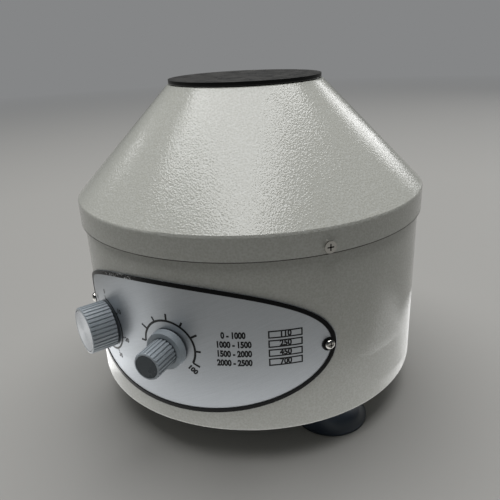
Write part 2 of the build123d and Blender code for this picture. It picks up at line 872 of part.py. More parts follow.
# Brushes in their holders, on either side of the commutator
holder_start = commutator_radius + holder_standoff
with BuildPart() as brush_holders:
    for plane in brush_planes:
        with BuildSketch(plane.offset(holder_start)):
            Rectangle(holder_width, holder_height)
            Rectangle(brush_width + 2 * running_fit, brush_height + 2 * running_fit, mode=Mode.SUBTRACT)
        extrude(amount=motor_radius + holder_reach - holder_start)
        with BuildSketch(plane.offset(motor_radius + holder_reach)):
            Rectangle(holder_width, holder_height)
        extrude(amount=holder_wall)
brush_holders.part.label = "brush_holders"
export_step(brush_holders.part, "parts/brush_holders.step")

with BuildPart() as brushes:
    for plane in brush_planes:
        with BuildSketch(plane.offset(commutator_radius + running_fit)):
            Rectangle(brush_width, brush_height)
        extrude(amount=brush_length)
brushes.part.label = "brushes"
export_step(brushes.part, "parts/brushes.step")

# Boot that keeps spilt liquid off the motor
boot_outer_radius = boot_hole_radius + boot_flange
boot_lip_radius = journal_radius + free_gap
with BuildPart() as shaft_boot:
    with BuildSketch(Plane.XZ):
        with BuildLine():
            Polyline(
                (boot_outer_radius, bowl_floor),
                (boot_outer_radius, bowl_floor + boot_wall),
                (boot_lip_radius + 2 * boot_wall, bowl_floor + boot_height),
                (boot_lip_radius, bowl_floor + boot_height),
                (boot_lip_radius, bowl_floor + boot_height - boot_wall),
                (boot_hole_radius - boot_wall, bowl_floor - bowl_wall - boot_wall),
                (boot_hole_radius - face_gap, bowl_floor - bowl_wall - boot_wall),
                (boot_hole_radius - face_gap, bowl_floor),
                close=True,
            )
        make_face()
    revolve(axis=Axis.Z)
shaft_boot.part.label = "shaft_boot"
export_step(shaft_boot.part, "parts/shaft_boot.step")

# Rotor head: a hub, a slanted dish, and a bored boss for each tube


def dish_height(radius, depth):
    # height at a depth below the plane of the tube mouths, measured along a tube
    return tube_mouth_height + (radius - tube_mouth_radius) * tan(tube_lean) - depth / cos(tube_lean)


def tube_plane(bearing, depth):
    # plane across a tube, its normal out of the tube's mouth
    angle = radians(bearing)
    radius = tube_mouth_radius + depth * sin(tube_lean)
    return Plane(
        origin=(
            radius * cos(angle),
            radius * sin(angle),
            tube_mouth_height - depth * cos(tube_lean),
        ),
        x_dir=(-sin(angle), cos(angle), 0),
        z_dir=(-sin(tube_lean) * cos(angle), -sin(tube_lean) * sin(angle), cos(tube_lean)),
    )


tube_turns = [360.0 * step / tube_count for step in range(tube_count)]
dish_start = hub_radius - dish_thickness / 2
dish_upper = collar_thickness + dish_drop
dish_lower = dish_upper + dish_thickness
with BuildPart() as rotor_head:
    with BuildSketch(Plane.XZ):
        with BuildLine():
            Polyline(
                (dish_start, dish_height(dish_start, dish_upper)),
                (dish_radius, dish_height(dish_radius, dish_upper)),
                (dish_radius, dish_height(dish_radius, dish_lower)),
                (dish_start, dish_height(dish_start, dish_lower)),
                close=True,
            )
        make_face()
    revolve(axis=Axis.Z)
    add(ring_section(0, hub_radius, hub_bottom, hub_top))
    revolve(axis=Axis.Z)
    for turn in tube_turns:
        with BuildSketch(tube_plane(turn, collar_thickness)):
            Circle(boss_radius)
        extrude(amount=-boss_length)
    for turn in tube_turns:
        with BuildSketch(tube_plane(turn, -collar_thickness)):
            Circle(shield_radius + push_fit)
        extrude(amount=-2 * boss_length, mode=Mode.SUBTRACT)
    with Locations((0, 0, hub_top)):
        Hole(rotor_seat_radius + push_fit, 2 * hub_height)
rotor_head.part.label = "rotor_head"
export_step(rotor_head.part, "parts/rotor_head.step")

# Dome nut that clamps the head on the shaft
with BuildPart() as rotor_nut:
    with BuildSketch(Plane.XY.offset(hub_top)):
        RegularPolygon(rotor_nut_radius, 6)
    extrude(amount=rotor_nut_height / 2)
    with Locations((0, 0, hub_top + rotor_nut_height / 2)):
        Sphere(rotor_nut_height / 2)
    with Locations((0, 0, hub_top)):
        Hole(rotor_seat_radius + thread_fit, rotor_thread_length + face_gap)
    with Locations((0, 0, hub_top)):
        Cylinder(
            rotor_nut_radius,
            rotor_nut_height,
            align=(Align.CENTER, Align.CENTER, Align.MAX),
            mode=Mode.SUBTRACT,
        )
rotor_nut.part.label = "rotor_nut"
export_step(rotor_nut.part, "parts/rotor_nut.step")

# Tube shields, each a round-ended sleeve that hangs in its boss by a collar
with BuildPart() as shield_blank:
    with Locations((0, 0, -shield_length)):
        Sphere(shield_radius)
    Cylinder(shield_radius, shield_length, align=(Align.CENTER, Align.CENTER, Align.MAX))
    Cylinder(collar_radius, collar_thickness, align=(Align.CENTER, Align.CENTER, Align.MAX))
    fillet(edges().filter_by(GeomType.CIRCLE).sort_by(Axis.Z)[-1], collar_thickness / 4)
    with Locations((0, 0, -shield_length)):
        Sphere(shield_bore, mode=Mode.SUBTRACT)
    Cylinder(
        shield_bore, shield_length, align=(Align.CENTER, Align.CENTER, Align.MAX), mode=Mode.SUBTRACT
    )
for number, turn in enumerate(tube_turns, start=1):
    with BuildPart() as tube_shield:
        with Locations(tube_plane(turn, 0)):
            add(shield_blank.part)
    tube_shield.part.label = f"tube_shield_{number}"
    export_step(tube_shield.part, f"parts/tube_shield_{number}.step")

with BuildPart() as cushion_blank:
    Sphere(shield_bore - running_fit)
    with Locations((0, 0, -cushion_depth)):
        Box(
            2 * shield_bore,
            2 * shield_bore,
            2 * shield_bore,
            align=(Align.CENTER, Align.CENTER, Align.MIN),
            mode=Mode.SUBTRACT,
        )
with BuildPart() as tube_cushions:
    with Locations(*[tube_plane(turn, shield_length) for turn in tube_turns]):
        add(cushion_blank.part)
tube_cushions.part.label = "tube_cushions"
export_step(tube_cushions.part, "parts/tube_cushions.step")

# Control panel, bent round the drum
timer_bush_hole = timer_bush_radius + bolt_clearance
pot_bush_hole = pot_bush_radius + bolt_clearance
panel_low = panel_middle - panel_half_height - panel_margin
panel_high = panel_middle + panel_half_height + panel_margin
panel_screw_planes = [outward(front + turn, border_face, panel_middle) for turn in panel_screw_turns]
with BuildPart() as control_panel:
    add(ring_section(drum_radius, panel_face, panel_low, panel_high))
    revolve(axis=Axis.Z)
    with BuildSketch(Plane.XZ):
        add(wrapped_outline(0, panel_half_length, panel_half_height))
    extrude(amount=2 * drum_radius, mode=Mode.INTERSECT)
    with Locations(timer_plane):
        Hole(timer_bush_hole, 2 * drum_wall)
    with Locations(speed_plane):
        Hole(pot_bush_hole, 2 * drum_wall)
    with Locations(*panel_screw_planes):
        Hole(panel_screw_radius + bolt_clearance, 4 * drum_wall)
control_panel.part.label = "control_panel"
export_step(control_panel.part, "parts/control_panel.step")

with BuildPart() as panel_border:
    add(ring_section(panel_face, border_face, panel_low, panel_high))
    revolve(axis=Axis.Z)
    with BuildSketch(Plane.XZ):
        add(wrapped_outline(0, panel_half_length, panel_half_height))
        add(
            wrapped_outline(0, panel_half_length - border_width, panel_half_height - border_width),
            mode=Mode.SUBTRACT,
        )
        for turn in panel_screw_turns:
            add(wrapped_outline(turn, eyelet_radius, eyelet_radius))
    extrude(amount=2 * drum_radius, mode=Mode.INTERSECT)
    with Locations(*panel_screw_planes):
        Hole(panel_screw_radius + bolt_clearance, 4 * drum_wall)
panel_border.part.label = "panel_border"
export_step(panel_border.part, "parts/panel_border.step")

panel_screw = pan_screw(panel_screw_radius, panel_screw_length)
with BuildPart() as panel_screws:
    with Locations(*panel_screw_planes):
        add(panel_screw)
panel_screws.part.label = "panel_screws"
export_step(panel_screws.part, "parts/panel_screws.step")

# Timer behind the panel, its shaft and knob
timer_face = sqrt(drum_bore**2 - (timer_width / 2) ** 2) - face_gap
timer_base = outward(front + timer_turn, timer_face, timer_middle)
timer_front = outward(front + timer_turn, panel_face, timer_middle)
timer_bush_length = panel_face + bush_reach - timer_face
timer_knob_top = knob_gap + timer_knob_height
with BuildPart() as timer_case:
    with BuildSketch(timer_base):
        RectangleRounded(timer_width, timer_width, timer_corner)
    extrude(amount=-timer_depth)
    with BuildSketch(timer_base):
        Circle(timer_bush_radius)
    extrude(amount=timer_bush_length)
    with Locations(timer_base.offset(timer_bush_length)):
        Hole(timer_shaft_radius + running_fit, timer_bush_length + 2 * shaft_tail)
timer_case.part.label = "timer_case"
export_step(timer_case.part, "parts/timer_case.step")

with BuildPart() as timer_shaft:
    with BuildSketch(timer_base.offset(-shaft_tail)):
        Circle(timer_shaft_radius)
    extrude(amount=panel_face + timer_knob_top - knob_roof - timer_face + shaft_tail)
timer_shaft.part.label = "timer_shaft"
export_step(timer_shaft.part, "parts/timer_shaft.step")

timer_grip = fluted_grip(timer_knob_radius, timer_knob_height, timer_knob_flutes)
timer_knob_back = timer_front.offset(knob_gap)
with BuildPart() as timer_knob:
    with Locations(timer_knob_back):
        add(timer_grip)
    with BuildSketch(timer_knob_back):
        Circle(timer_nut_radius + free_gap)
    extrude(amount=bush_reach, mode=Mode.SUBTRACT)
    with BuildSketch(timer_knob_back):
        Circle(timer_shaft_radius + push_fit)
    extrude(amount=timer_knob_height - knob_roof, mode=Mode.SUBTRACT)
timer_knob.part.label = "timer_knob"
export_step(timer_knob.part, "parts/timer_knob.step")

# Speed control behind the panel, its shaft and knob
pot_face = sqrt(drum_bore**2 - pot_radius**2) - face_gap
pot_base = outward(front, pot_face, panel_middle)
speed_front = outward(front, panel_face, panel_middle)
pot_bush_length = panel_face + bush_reach - pot_face
speed_knob_top = knob_gap + speed_knob_height
with BuildPart() as speed_control:
    with BuildSketch(pot_base):
        Circle(pot_radius)
    extrude(amount=-pot_depth)
    with BuildSketch(pot_base):
        Circle(pot_bush_radius)
    extrude(amount=pot_bush_length)
    with Locations(pot_base.offset(pot_bush_length)):
        Hole(pot_shaft_radius + running_fit, pot_bush_length + shaft_tail + face_gap)
speed_control.part.label = "speed_control"
export_step(speed_control.part, "parts/speed_control.step")

with BuildPart() as speed_shaft:
    with BuildSketch(pot_base.offset(-shaft_tail)):
        Circle(pot_shaft_radius)
    extrude(amount=panel_face + speed_knob_top - knob_roof - pot_face + shaft_tail)
speed_shaft.part.label = "speed_shaft"
export_step(speed_shaft.part, "parts/speed_shaft.step")

speed_grip = fluted_grip(speed_knob_radius, speed_knob_height, speed_knob_flutes)
speed_knob_back = speed_front.offset(knob_gap)
with BuildPart() as speed_collar:
    with BuildSketch(Plane.XZ) as collar_half:
        with BuildLine():
            Polyline(
                (0, 0),
                (speed_skirt_radius, 0),
                (speed_skirt_radius - speed_skirt_taper, speed_skirt_height),
                (0, speed_skirt_height),
                close=True,
            )
        make_face()
        fillet(collar_half.vertices().group_by(Axis.Z)[-1].sort_by(Axis.X)[-1], speed_skirt_round)
    revolve(axis=Axis.Z)
with BuildPart() as speed_knob:
    with Locations(speed_knob_back):
        add(speed_grip)
        add(speed_collar.part)
    with BuildSketch(speed_knob_back):
        Circle(pot_nut_radius + free_gap)
    extrude(amount=bush_reach, mode=Mode.SUBTRACT)
    with BuildSketch(speed_knob_back):
        Circle(pot_shaft_radius + push_fit)
    extrude(amount=speed_knob_height - knob_roof, mode=Mode.SUBTRACT)
speed_knob.part.label = "speed_knob"
export_step(speed_knob.part, "parts/speed_knob.step")

# Nuts that clamp the two bushes to the panel
timer_nut = hex_nut(timer_bush_radius + thread_fit, timer_nut_radius, timer_nut_height)
pot_nut = hex_nut(pot_bush_radius + thread_fit, pot_nut_radius, pot_nut_height)
with BuildPart() as bush_nuts:
    with Locations(timer_front):
        add(timer_nut)
    with Locations(speed_front):
        add(pot_nut)
bush_nuts.part.label = "bush_nuts"
export_step(bush_nuts.part, "parts/bush_nuts.step")

# Speed board on four posts
board_bottom = base_top + board_post_height
board_top = board_bottom + board_thickness
post_pitch_across = board_width - 2 * board_post_inset
post_pitch_along = board_length - 2 * board_post_inset
with BuildPart() as board_posts:
    with BuildSketch(Plane.XY.offset(base_top)):
        with Locations((board_across, board_along)):
            with GridLocations(post_pitch_across, post_pitch_along, 2, 2):
                Circle(board_post_radius)
    extrude(amount=board_post_height)
board_posts.part.label = "board_posts"
export_step(board_posts.part, "parts/board_posts.step")

with BuildPart() as speed_board:
    with BuildSketch(Plane.XY.offset(board_bottom)):
        with Locations((board_across, board_along)):
            Rectangle(board_width, board_length)
    extrude(amount=board_thickness)
speed_board.part.label = "speed_board"
export_step(speed_board.part, "parts/speed_board.step")

board_pitch = board_length / board_part_count
first_place = board_along - (board_length - board_pitch) / 2
board_places = [first_place + board_pitch * step for step in range(board_part_count)]
on_board = (Align.CENTER, Align.CENTER, Align.MIN)
with BuildPart() as board_components:
    with Locations((board_across, board_places[3], board_top)):
        Box(*board_box_size, align=on_board)
    with Locations((board_across, board_places[2], board_top)):
        Cylinder(board_can_radius, board_can_height, align=on_board)
    with Locations((board_across, board_places[1], board_top)):
        Box(*board_sink_size, align=on_board)
    with Locations((board_across, board_places[0], board_top + board_choke_bulk)):
        Torus(board_choke_radius, board_choke_bulk)
board_components.part.label = "board_components"
export_step(board_components.part, "parts/board_components.step")

# Power module
socket_middle = (0, -socket_drop)
drawer_middle = (0, drawer_rise)
rocker_middle = (0, rocker_rise)
pivot_level = module_flange - rocker_pivot_depth
well_half_height = rocker_swing_radius + free_gap
module_front = module_plane.offset(module_flange)
pivot_plane = module_plane.offset(pivot_level)
pin_places = [
    (-pin_spacing / 2, -socket_drop - pin_offset),
    (pin_spacing / 2, -socket_drop - pin_offset),
    (0, -socket_drop + pin_offset),
]
with BuildPart() as power_module:
    with BuildSketch(module_plane):
        RectangleRounded(module_width, module_height, module_corner)
    extrude(amount=module_flange)
    with BuildSketch(module_plane):
        Rectangle(module_body_width, module_body_height)
    extrude(amount=-module_body_depth)
    with BuildSketch(module_front) as socket_mouth:
        with Locations(socket_middle):
            Rectangle(socket_width, socket_height)
        chamfer(socket_mouth.vertices().sort_by(Axis.Z)[-2:], socket_corner)
    extrude(amount=-socket_depth, mode=Mode.SUBTRACT)
    with BuildSketch(module_plane):
        with Locations(*pin_places):
            Rectangle(pin_thickness + 2 * push_fit, pin_height + 2 * push_fit)
    extrude(amount=-module_body_depth, mode=Mode.SUBTRACT)
    with BuildSketch(module_front):
        with Locations(drawer_middle):
            Rectangle(drawer_width + 2 * drawer_gap, drawer_height + 2 * drawer_gap)
    extrude(amount=-drawer_depth - drawer_gap, mode=Mode.SUBTRACT)
    with BuildSketch(module_front):
        with Locations(rocker_middle):
            Rectangle(rocker_width + 2 * free_gap, 2 * well_half_height)
    extrude(amount=-well_half_height - rocker_pivot_depth, mode=Mode.SUBTRACT)
    with Locations(pivot_plane * Pos(0, rocker_rise)):
        Cylinder(
            trunnion_radius + running_fit,
            rocker_width + 2 * (trunnion_length + free_gap),
            rotation=(0, 90, 0),
            mode=Mode.SUBTRACT,
        )
power_module.part.label = "power_module"
export_step(power_module.part, "parts/power_module.step")

with BuildPart() as module_gasket:
    with BuildSketch(module_plane):
        RectangleRounded(
            module_width - 2 * module_gasket_inset,
            module_height - 2 * module_gasket_inset,
            module_corner,
        )
        Rectangle(module_hole_width, module_hole_height, mode=Mode.SUBTRACT)
    extrude(amount=-2 * module_flange)
    Cylinder(drum_radius + running_fit, 2 * drum_top, mode=Mode.SUBTRACT)
module_gasket.part.label = "module_gasket"
export_step(module_gasket.part, "parts/module_gasket.step")

pin_floor = module_flange - socket_depth
with BuildPart() as module_pins:
    with BuildSketch(module_plane.offset(pin_floor + pin_length)):
        with Locations(*pin_places):
            Rectangle(pin_thickness, pin_height)
    extrude(amount=-(pin_length + pin_floor + module_body_depth + pin_tail))
module_pins.part.label = "module_pins"
export_step(module_pins.part, "parts/module_pins.step")

fuse_level = module_flange - drawer_depth + fuse_inset
fuse_floor = drawer_rise - drawer_height / 2 + drawer_wall
with BuildPart() as fuse_drawer:
    with BuildSketch(module_front):
        with Locations(drawer_middle):
            Rectangle(drawer_width, drawer_height)
    extrude(amount=-drawer_depth)
    with BuildSketch(module_front):
        with Locations(drawer_middle):
            RectangleRounded(drawer_width, drawer_height, drawer_corner)
    extrude(amount=drawer_lip)
    with BuildSketch(module_plane.offset(fuse_level - fuse_radius - drawer_gap)):
        with Locations((0, fuse_floor)):
            Rectangle(
                fuse_length + 2 * drawer_gap, drawer_height, align=(Align.CENTER, Align.MIN)
            )
    extrude(amount=2 * (fuse_radius + drawer_gap), mode=Mode.SUBTRACT)
fuse_drawer.part.label = "fuse_drawer"
export_step(fuse_drawer.part, "parts/fuse_drawer.step")

with BuildPart() as fuse:
    with Locations(module_plane * Pos(0, fuse_floor + fuse_radius + running_fit, fuse_level)):
        Cylinder(fuse_radius, fuse_length, rotation=(0, 90, 0))
fuse.part.label = "fuse"
export_step(fuse.part, "parts/fuse.step")

# Rocker, drawn level on its trunnions and then tipped to its off side
with BuildPart() as rocker_blank:
    with BuildSketch(Plane.YZ):
        Circle(rocker_swing_radius)
        with BuildLine():
            Polyline(
                (-rocker_swing_radius, rocker_swing_radius),
                (-rocker_edge, rocker_peak),
                (0, rocker_valley),
                (rocker_edge, rocker_peak),
                (rocker_swing_radius, rocker_swing_radius),
                close=True,
            )
        make_face(mode=Mode.SUBTRACT)
        with BuildLine():
            Polyline(
                (-rocker_edge, rocker_pivot_depth),
                (-rocker_edge, rocker_peak),
                (0, rocker_valley),
                (rocker_edge, rocker_peak),
                (rocker_edge, rocker_pivot_depth),
                close=True,
            )
        make_face()
    extrude(amount=rocker_width / 2, both=True)
    Cylinder(trunnion_radius, rocker_width + 2 * trunnion_length, rotation=(0, 90, 0))
with BuildPart() as power_rocker:
    with Locations(pivot_plane * Pos(0, rocker_rise) * Rot(rocker_tilt, 0, 0)):
        add(rocker_blank.part)
power_rocker.part.label = "power_rocker"
export_step(power_rocker.part, "parts/power_rocker.step")
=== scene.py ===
import math

import bmesh
import bpy
from mathutils import Matrix, Vector


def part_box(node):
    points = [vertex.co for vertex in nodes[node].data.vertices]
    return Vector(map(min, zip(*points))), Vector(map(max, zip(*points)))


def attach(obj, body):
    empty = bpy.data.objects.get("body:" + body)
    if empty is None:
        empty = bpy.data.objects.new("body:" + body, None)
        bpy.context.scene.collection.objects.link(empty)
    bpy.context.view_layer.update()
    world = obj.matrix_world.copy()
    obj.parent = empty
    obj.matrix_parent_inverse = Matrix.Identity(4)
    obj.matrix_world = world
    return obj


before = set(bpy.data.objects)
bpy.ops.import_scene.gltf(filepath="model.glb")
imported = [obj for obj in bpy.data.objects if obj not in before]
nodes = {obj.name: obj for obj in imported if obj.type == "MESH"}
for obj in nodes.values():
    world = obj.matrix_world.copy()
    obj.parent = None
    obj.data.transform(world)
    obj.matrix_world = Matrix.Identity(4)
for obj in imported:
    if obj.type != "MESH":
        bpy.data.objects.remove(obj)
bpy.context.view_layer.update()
print("frame loaded:", len(nodes), "nodes")

mm = 0.001

panelLow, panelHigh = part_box("control_panel")
panel = {
    "radius": -panelLow.y,
    "middle": (panelLow.z + panelHigh.z) / 2,
    "inkLift": 0.04 * mm,
    "stepAlong": 1.5 * mm,  # longest piece of ink laid flat before it has to bend with the drum
    "stepRound": 4,  # degrees, the same for the dials' arcs
    "numeralSteps": 4,  # straight steps in each curve of a numeral
}

# the sockets of a mix of two colours, which go by number
mixShare, mixFirst, mixSecond, mixResult = 0, 6, 7, 2


def linearColour(hexCode):
    # sRGB hex to the linear values that shaders take
    parts = [int(hexCode[i:i + 2], 16) / 255 for i in (1, 3, 5)]
    linear = [p / 12.92 if p <= 0.04045 else ((p + 0.055) / 1.055) ** 2.4 for p in parts]
    return (*linear, 1.0)


def addNode(tree, kind, settings=None, links=None, feeds=None):
    # a setting is an attribute of the node or else a socket; attributes come first in each call,
    # since some of them change the sockets; the node's first output goes to the socket it feeds
    node = tree.nodes.new(kind)
    for key, value in (settings or {}).items():
        if isinstance(key, str) and hasattr(node, key):
            setattr(node, key, value)
        else:
            node.inputs[key].default_value = value
    for key, source in (links or {}).items():
        tree.links.new(source, node.inputs[key])
    if feeds is not None:
        tree.links.new(node.outputs[0], feeds)
    return node


def newMaterial(name, colour, roughness, metallic=0.0, **more):
    # a principled shader with the plain values set on its own sockets
    material = bpy.data.materials.new(name)
    material.use_nodes = True
    tree = material.node_tree
    tree.nodes.clear()
    settings = {"Base Color": linearColour(colour), "Roughness": roughness, "Metallic": metallic}
    settings.update({key.replace("_", " "): value for key, value in more.items()})
    shader = addNode(tree, "ShaderNodeBsdfPrincipled", settings)
    addNode(tree, "ShaderNodeOutputMaterial", links={"Surface": shader.outputs["BSDF"]})
    place = addNode(tree, "ShaderNodeTexCoord").outputs["Object"]
    return material, tree, shader, place


def grainScale(size):
    # texture scale for a pattern whose grain is this many millimetres wide
    return 1 / (size * mm)


coat = {
    "base": "#b0b1aa",
    "lowTone": "#a8a8a0",
    "highTone": "#b6b7b1",
    "pebble": 1.35,  # across one pebble of the orange peel, in mm
    "pebbleShare": 0.9,  # of the pebbles in the relief, beside the ripple
    "ripple": 1.0,  # mm
    "relief": 0.10 * mm,
    "patch": 60,  # across a patch that is a little glossier or duller, in mm
    "roughness": (0.07, 0.12),
    "seamShadowColour": "#3d3b36",
    "seam": 0.75 * mm,  # painted shadow on each side of the skirt's lower edge
    "seamCore": 0.6,  # share of the seam where the painted shadow is full
    "seamDulling": 0.4,
}


def seamShadowMask(tree, place):
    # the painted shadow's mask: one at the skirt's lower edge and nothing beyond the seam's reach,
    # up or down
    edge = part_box("hood")[0].z
    up = addNode(tree, "ShaderNodeSeparateXYZ", links={0: place}).outputs["Z"]
    away = addNode(tree, "ShaderNodeMath", {"operation": "SUBTRACT", 1: edge}, {0: up}).outputs[0]
    size = addNode(tree, "ShaderNodeMath", {"operation": "ABSOLUTE"}, {0: away}).outputs[0]
    return addNode(
        tree,
        "ShaderNodeMapRange",
        {
            "From Min": coat["seam"] * coat["seamCore"],
            "From Max": coat["seam"],
            "To Min": 1.0,
            "To Max": 0.0,
        },
        {"Value": size},
    ).outputs[0]


def powderCoat():
    # steel with a glossy powder coat: its orange peel glitters where a reflection ends, and a line
    # of painted shadow, a little rougher too, darkens the skirt's lower edge and the drum under it
    material, tree, shader, place = newMaterial("orangePeelPowderCoat", coat["base"], 0.2)
    pebbles = addNode(
        tree,
        "ShaderNodeTexVoronoi",
        {"feature": "SMOOTH_F1", "Scale": grainScale(coat["pebble"]), "Smoothness": 0.45},
        {"Vector": place},
    ).outputs["Distance"]
    ripples = addNode(
        tree,
        "ShaderNodeTexNoise",
        {"Scale": grainScale(coat["ripple"]), "Detail": 1.0},
        {"Vector": place},
    ).outputs["Fac"]
    # pebbles stand up, so the distance from their middles is taken away
    height = addNode(
        tree,
        "ShaderNodeMath",
        {"operation": "MULTIPLY_ADD", 1: -coat["pebbleShare"]},
        {0: pebbles, 2: ripples},
    ).outputs[0]
    addNode(
        tree,
        "ShaderNodeBump",
        {"Strength": 1.0, "Distance": coat["relief"]},
        {"Height": height},
        feeds=shader.inputs["Normal"],
    )
    patches = addNode(
        tree,
        "ShaderNodeTexNoise",
        {"Scale": grainScale(coat["patch"]), "Detail": 3.0},
        {"Vector": place},
    ).outputs["Fac"]
    low, high = coat["roughness"]
    sheen = addNode(
        tree,
        "ShaderNodeMapRange",
        {"From Min": 0.35, "From Max": 0.65, "To Min": low, "To Max": high},
        {"Value": patches},
    ).outputs[0]
    # painted shadow: a dark line where the skirt's overhang shades the drum
    paintedShade = seamShadowMask(tree, place)
    addNode(
        tree,
        "ShaderNodeMath",
        {"operation": "MULTIPLY_ADD", 1: coat["seamDulling"]},
        {0: paintedShade, 2: sheen},
        feeds=shader.inputs["Roughness"],
    )
    tone = addNode(
        tree, "ShaderNodeMapRange", {"From Min": 0.1, "From Max": 0.8}, {"Value": pebbles}
    ).outputs[0]
    paint = addNode(
        tree,
        "ShaderNodeMix",
        {
            "data_type": "RGBA",
            mixFirst: linearColour(coat["lowTone"]),
            mixSecond: linearColour(coat["highTone"]),
        },
        {mixShare: tone},
    ).outputs[mixResult]
    shaded = addNode(
        tree,
        "ShaderNodeMix",
        {"data_type": "RGBA", mixSecond: linearColour(coat["seamShadowColour"])},
        {mixShare: paintedShade, mixFirst: paint},
    ).outputs[mixResult]
    tree.links.new(shaded, shader.inputs["Base Color"])
    return material


lidFinish = {
    "black": "#0a0b0c",
    "dust": "#262420",
    "scratch": "#6a6761",
    "dustPatch": 9,  # mm
    "scratchWidth": 2.2,  # mm, far wider than the real ones so that they show
    "scratchLength": 14.0,  # in scratch widths
    "scratchSlant": 35,  # degrees
    "roughness": (0.10, 0.48),  # bare, and under dust
    "relief": 0.05 * mm,
}


def lidAbs():
    # black ABS, moulded and polished: a mirror edge, and a top dulled by dust and fine scratches
    material, tree, shader, place = newMaterial("polishedBlackAbs", lidFinish["black"], 0.12)
    normal = addNode(tree, "ShaderNodeNewGeometry").outputs["Normal"]
    up = addNode(tree, "ShaderNodeSeparateXYZ", links={0: normal}).outputs["Z"]
    onTop = addNode(
        tree, "ShaderNodeMapRange", {"From Min": 0.80, "From Max": 0.98}, {"Value": up}
    ).outputs[0]
    dust = addNode(
        tree,
        "ShaderNodeTexNoise",
        {
            "Scale": grainScale(lidFinish["dustPatch"]),
            "Detail": 8.0,
            "Roughness": 0.75,
            "Distortion": 0.3,
        },
        {"Vector": place},
    ).outputs["Fac"]
    settled = addNode(
        tree,
        "ShaderNodeMapRange",
        {"From Min": 0.32, "From Max": 0.66, "To Min": 0.3},
        {"Value": dust},
    ).outputs[0]
    dusty = addNode(
        tree, "ShaderNodeMath", {"operation": "MULTIPLY"}, {0: onTop, 1: settled}
    ).outputs[0]
    stretched = addNode(
        tree,
        "ShaderNodeMapping",
        {
            "vector_type": "TEXTURE",
            "Rotation": (0, 0, math.radians(lidFinish["scratchSlant"])),
            "Scale": (lidFinish["scratchLength"], 1.0, 1.0),
        },
        {"Vector": place},
    ).outputs[0]
    rubs = addNode(
        tree,
        "ShaderNodeTexNoise",
        {"Scale": grainScale(lidFinish["scratchWidth"]), "Detail": 2.0},
        {"Vector": stretched},
    ).outputs["Fac"]
    rubbed = addNode(
        tree, "ShaderNodeMapRange", {"From Min": 0.70, "From Max": 0.76}, {"Value": rubs}
    ).outputs[0]
    scratch = addNode(
        tree, "ShaderNodeMath", {"operation": "MULTIPLY"}, {0: rubbed, 1: onTop}
    ).outputs[0]
    top = addNode(
        tree,
        "ShaderNodeMix",
        {
            "data_type": "RGBA",
            mixFirst: linearColour(lidFinish["black"]),
            mixSecond: linearColour(lidFinish["dust"]),
        },
        {mixShare: dusty},
    ).outputs[mixResult]
    worn = addNode(
        tree,
        "ShaderNodeMix",
        {"data_type": "RGBA", mixSecond: linearColour(lidFinish["scratch"])},
        {mixShare: scratch, mixFirst: top},
    ).outputs[mixResult]
    tree.links.new(worn, shader.inputs["Base Color"])
    low, high = lidFinish["roughness"]
    addNode(
        tree,
        "ShaderNodeMapRange",
        {"To Min": low, "To Max": high},
        {"Value": dusty},
        feeds=shader.inputs["Roughness"],
    )
    addNode(
        tree,
        "ShaderNodeBump",
        {"Strength": 0.5, "Distance": lidFinish["relief"]},
        {"Height": dust},
        feeds=shader.inputs["Normal"],
    )
    return material


crevices = {
    "samples": 8,
    "open": 0.85,  # share of open sky at and above which no shade is painted
    "closed": 0.5,  # share at and below which the painted shade is darkest
}


def paintShade(tree, shader, reach, shadeColour):
    # painted shade in the grooves and recesses, darker where less open sky is seen, over the colour
    # already there
    shelter = addNode(
        tree,
        "ShaderNodeAmbientOcclusion",
        {"samples": crevices["samples"], "only_local": True, "Distance": reach * mm},
    ).outputs["AO"]
    # painted shade: full in the deepest recesses, none on open faces
    paintedShade = addNode(
        tree,
        "ShaderNodeMapRange",
        {
            "From Min": crevices["closed"],
            "From Max": crevices["open"],
            "To Min": 1.0,
            "To Max": 0.0,
        },
        {"Value": shelter},
    ).outputs[0]
    colour = shader.inputs["Base Color"]
    settings = {
        "data_type": "RGBA",
        mixFirst: tuple(colour.default_value),
        mixSecond: linearColour(shadeColour),
    }
    links = {mixShare: paintedShade}
    if colour.is_linked:
        links[mixFirst] = colour.links[0].from_socket
    shaded = addNode(tree, "ShaderNodeMix", settings, links).outputs[mixResult]
    tree.links.new(shaded, colour)


moulding = {"smudge": 18}  # across one smudge of handling, in mm


def moulded(name, colour, roughness, grain=0.6, depth=0.02, fleck=0.08, paintedShade=None):
    # a moulded skin or a coat of paint: a fine even grain, and smudges that change its sheen
    material, tree, shader, place = newMaterial(name, colour, roughness)
    texture = addNode(
        tree, "ShaderNodeTexNoise", {"Scale": grainScale(grain), "Detail": 3.0}, {"Vector": place}
    ).outputs["Fac"]
    addNode(
        tree,
        "ShaderNodeBump",
        {"Strength": 0.6, "Distance": depth * mm},
        {"Height": texture},
        feeds=shader.inputs["Normal"],
    )
    smudges = addNode(
        tree,
        "ShaderNodeTexNoise",
        {"Scale": grainScale(moulding["smudge"]), "Detail": 4.0},
        {"Vector": place},
    ).outputs["Fac"]
    addNode(
        tree,
        "ShaderNodeMapRange",
        {
            "From Min": 0.3,
            "From Max": 0.7,
            "To Min": roughness - fleck,
            "To Max": roughness + fleck,
        },
        {"Value": smudges},
        feeds=shader.inputs["Roughness"],
    )
    lightness = addNode(
        tree,
        "ShaderNodeMapRange",
        {"From Min": 0.3, "From Max": 0.7, "To Min": 1 - fleck, "To Max": 1 + fleck},
        {"Value": smudges},
    ).outputs[0]
    addNode(
        tree,
        "ShaderNodeHueSaturation",
        {"Color": linearColour(colour)},
        {"Value": lightness},
        feeds=shader.inputs["Base Color"],
    )
    # painted shade in the recesses, where it is asked for
    if paintedShade:
        paintShade(tree, shader, *paintedShade)
    return material


plating = {
    "unevenness": 0.8,  # mm
    "relief": 0.006 * mm,
    "roughness": (0.8, 1.3),  # shares of the metal's own, where it is smoothest and roughest
}


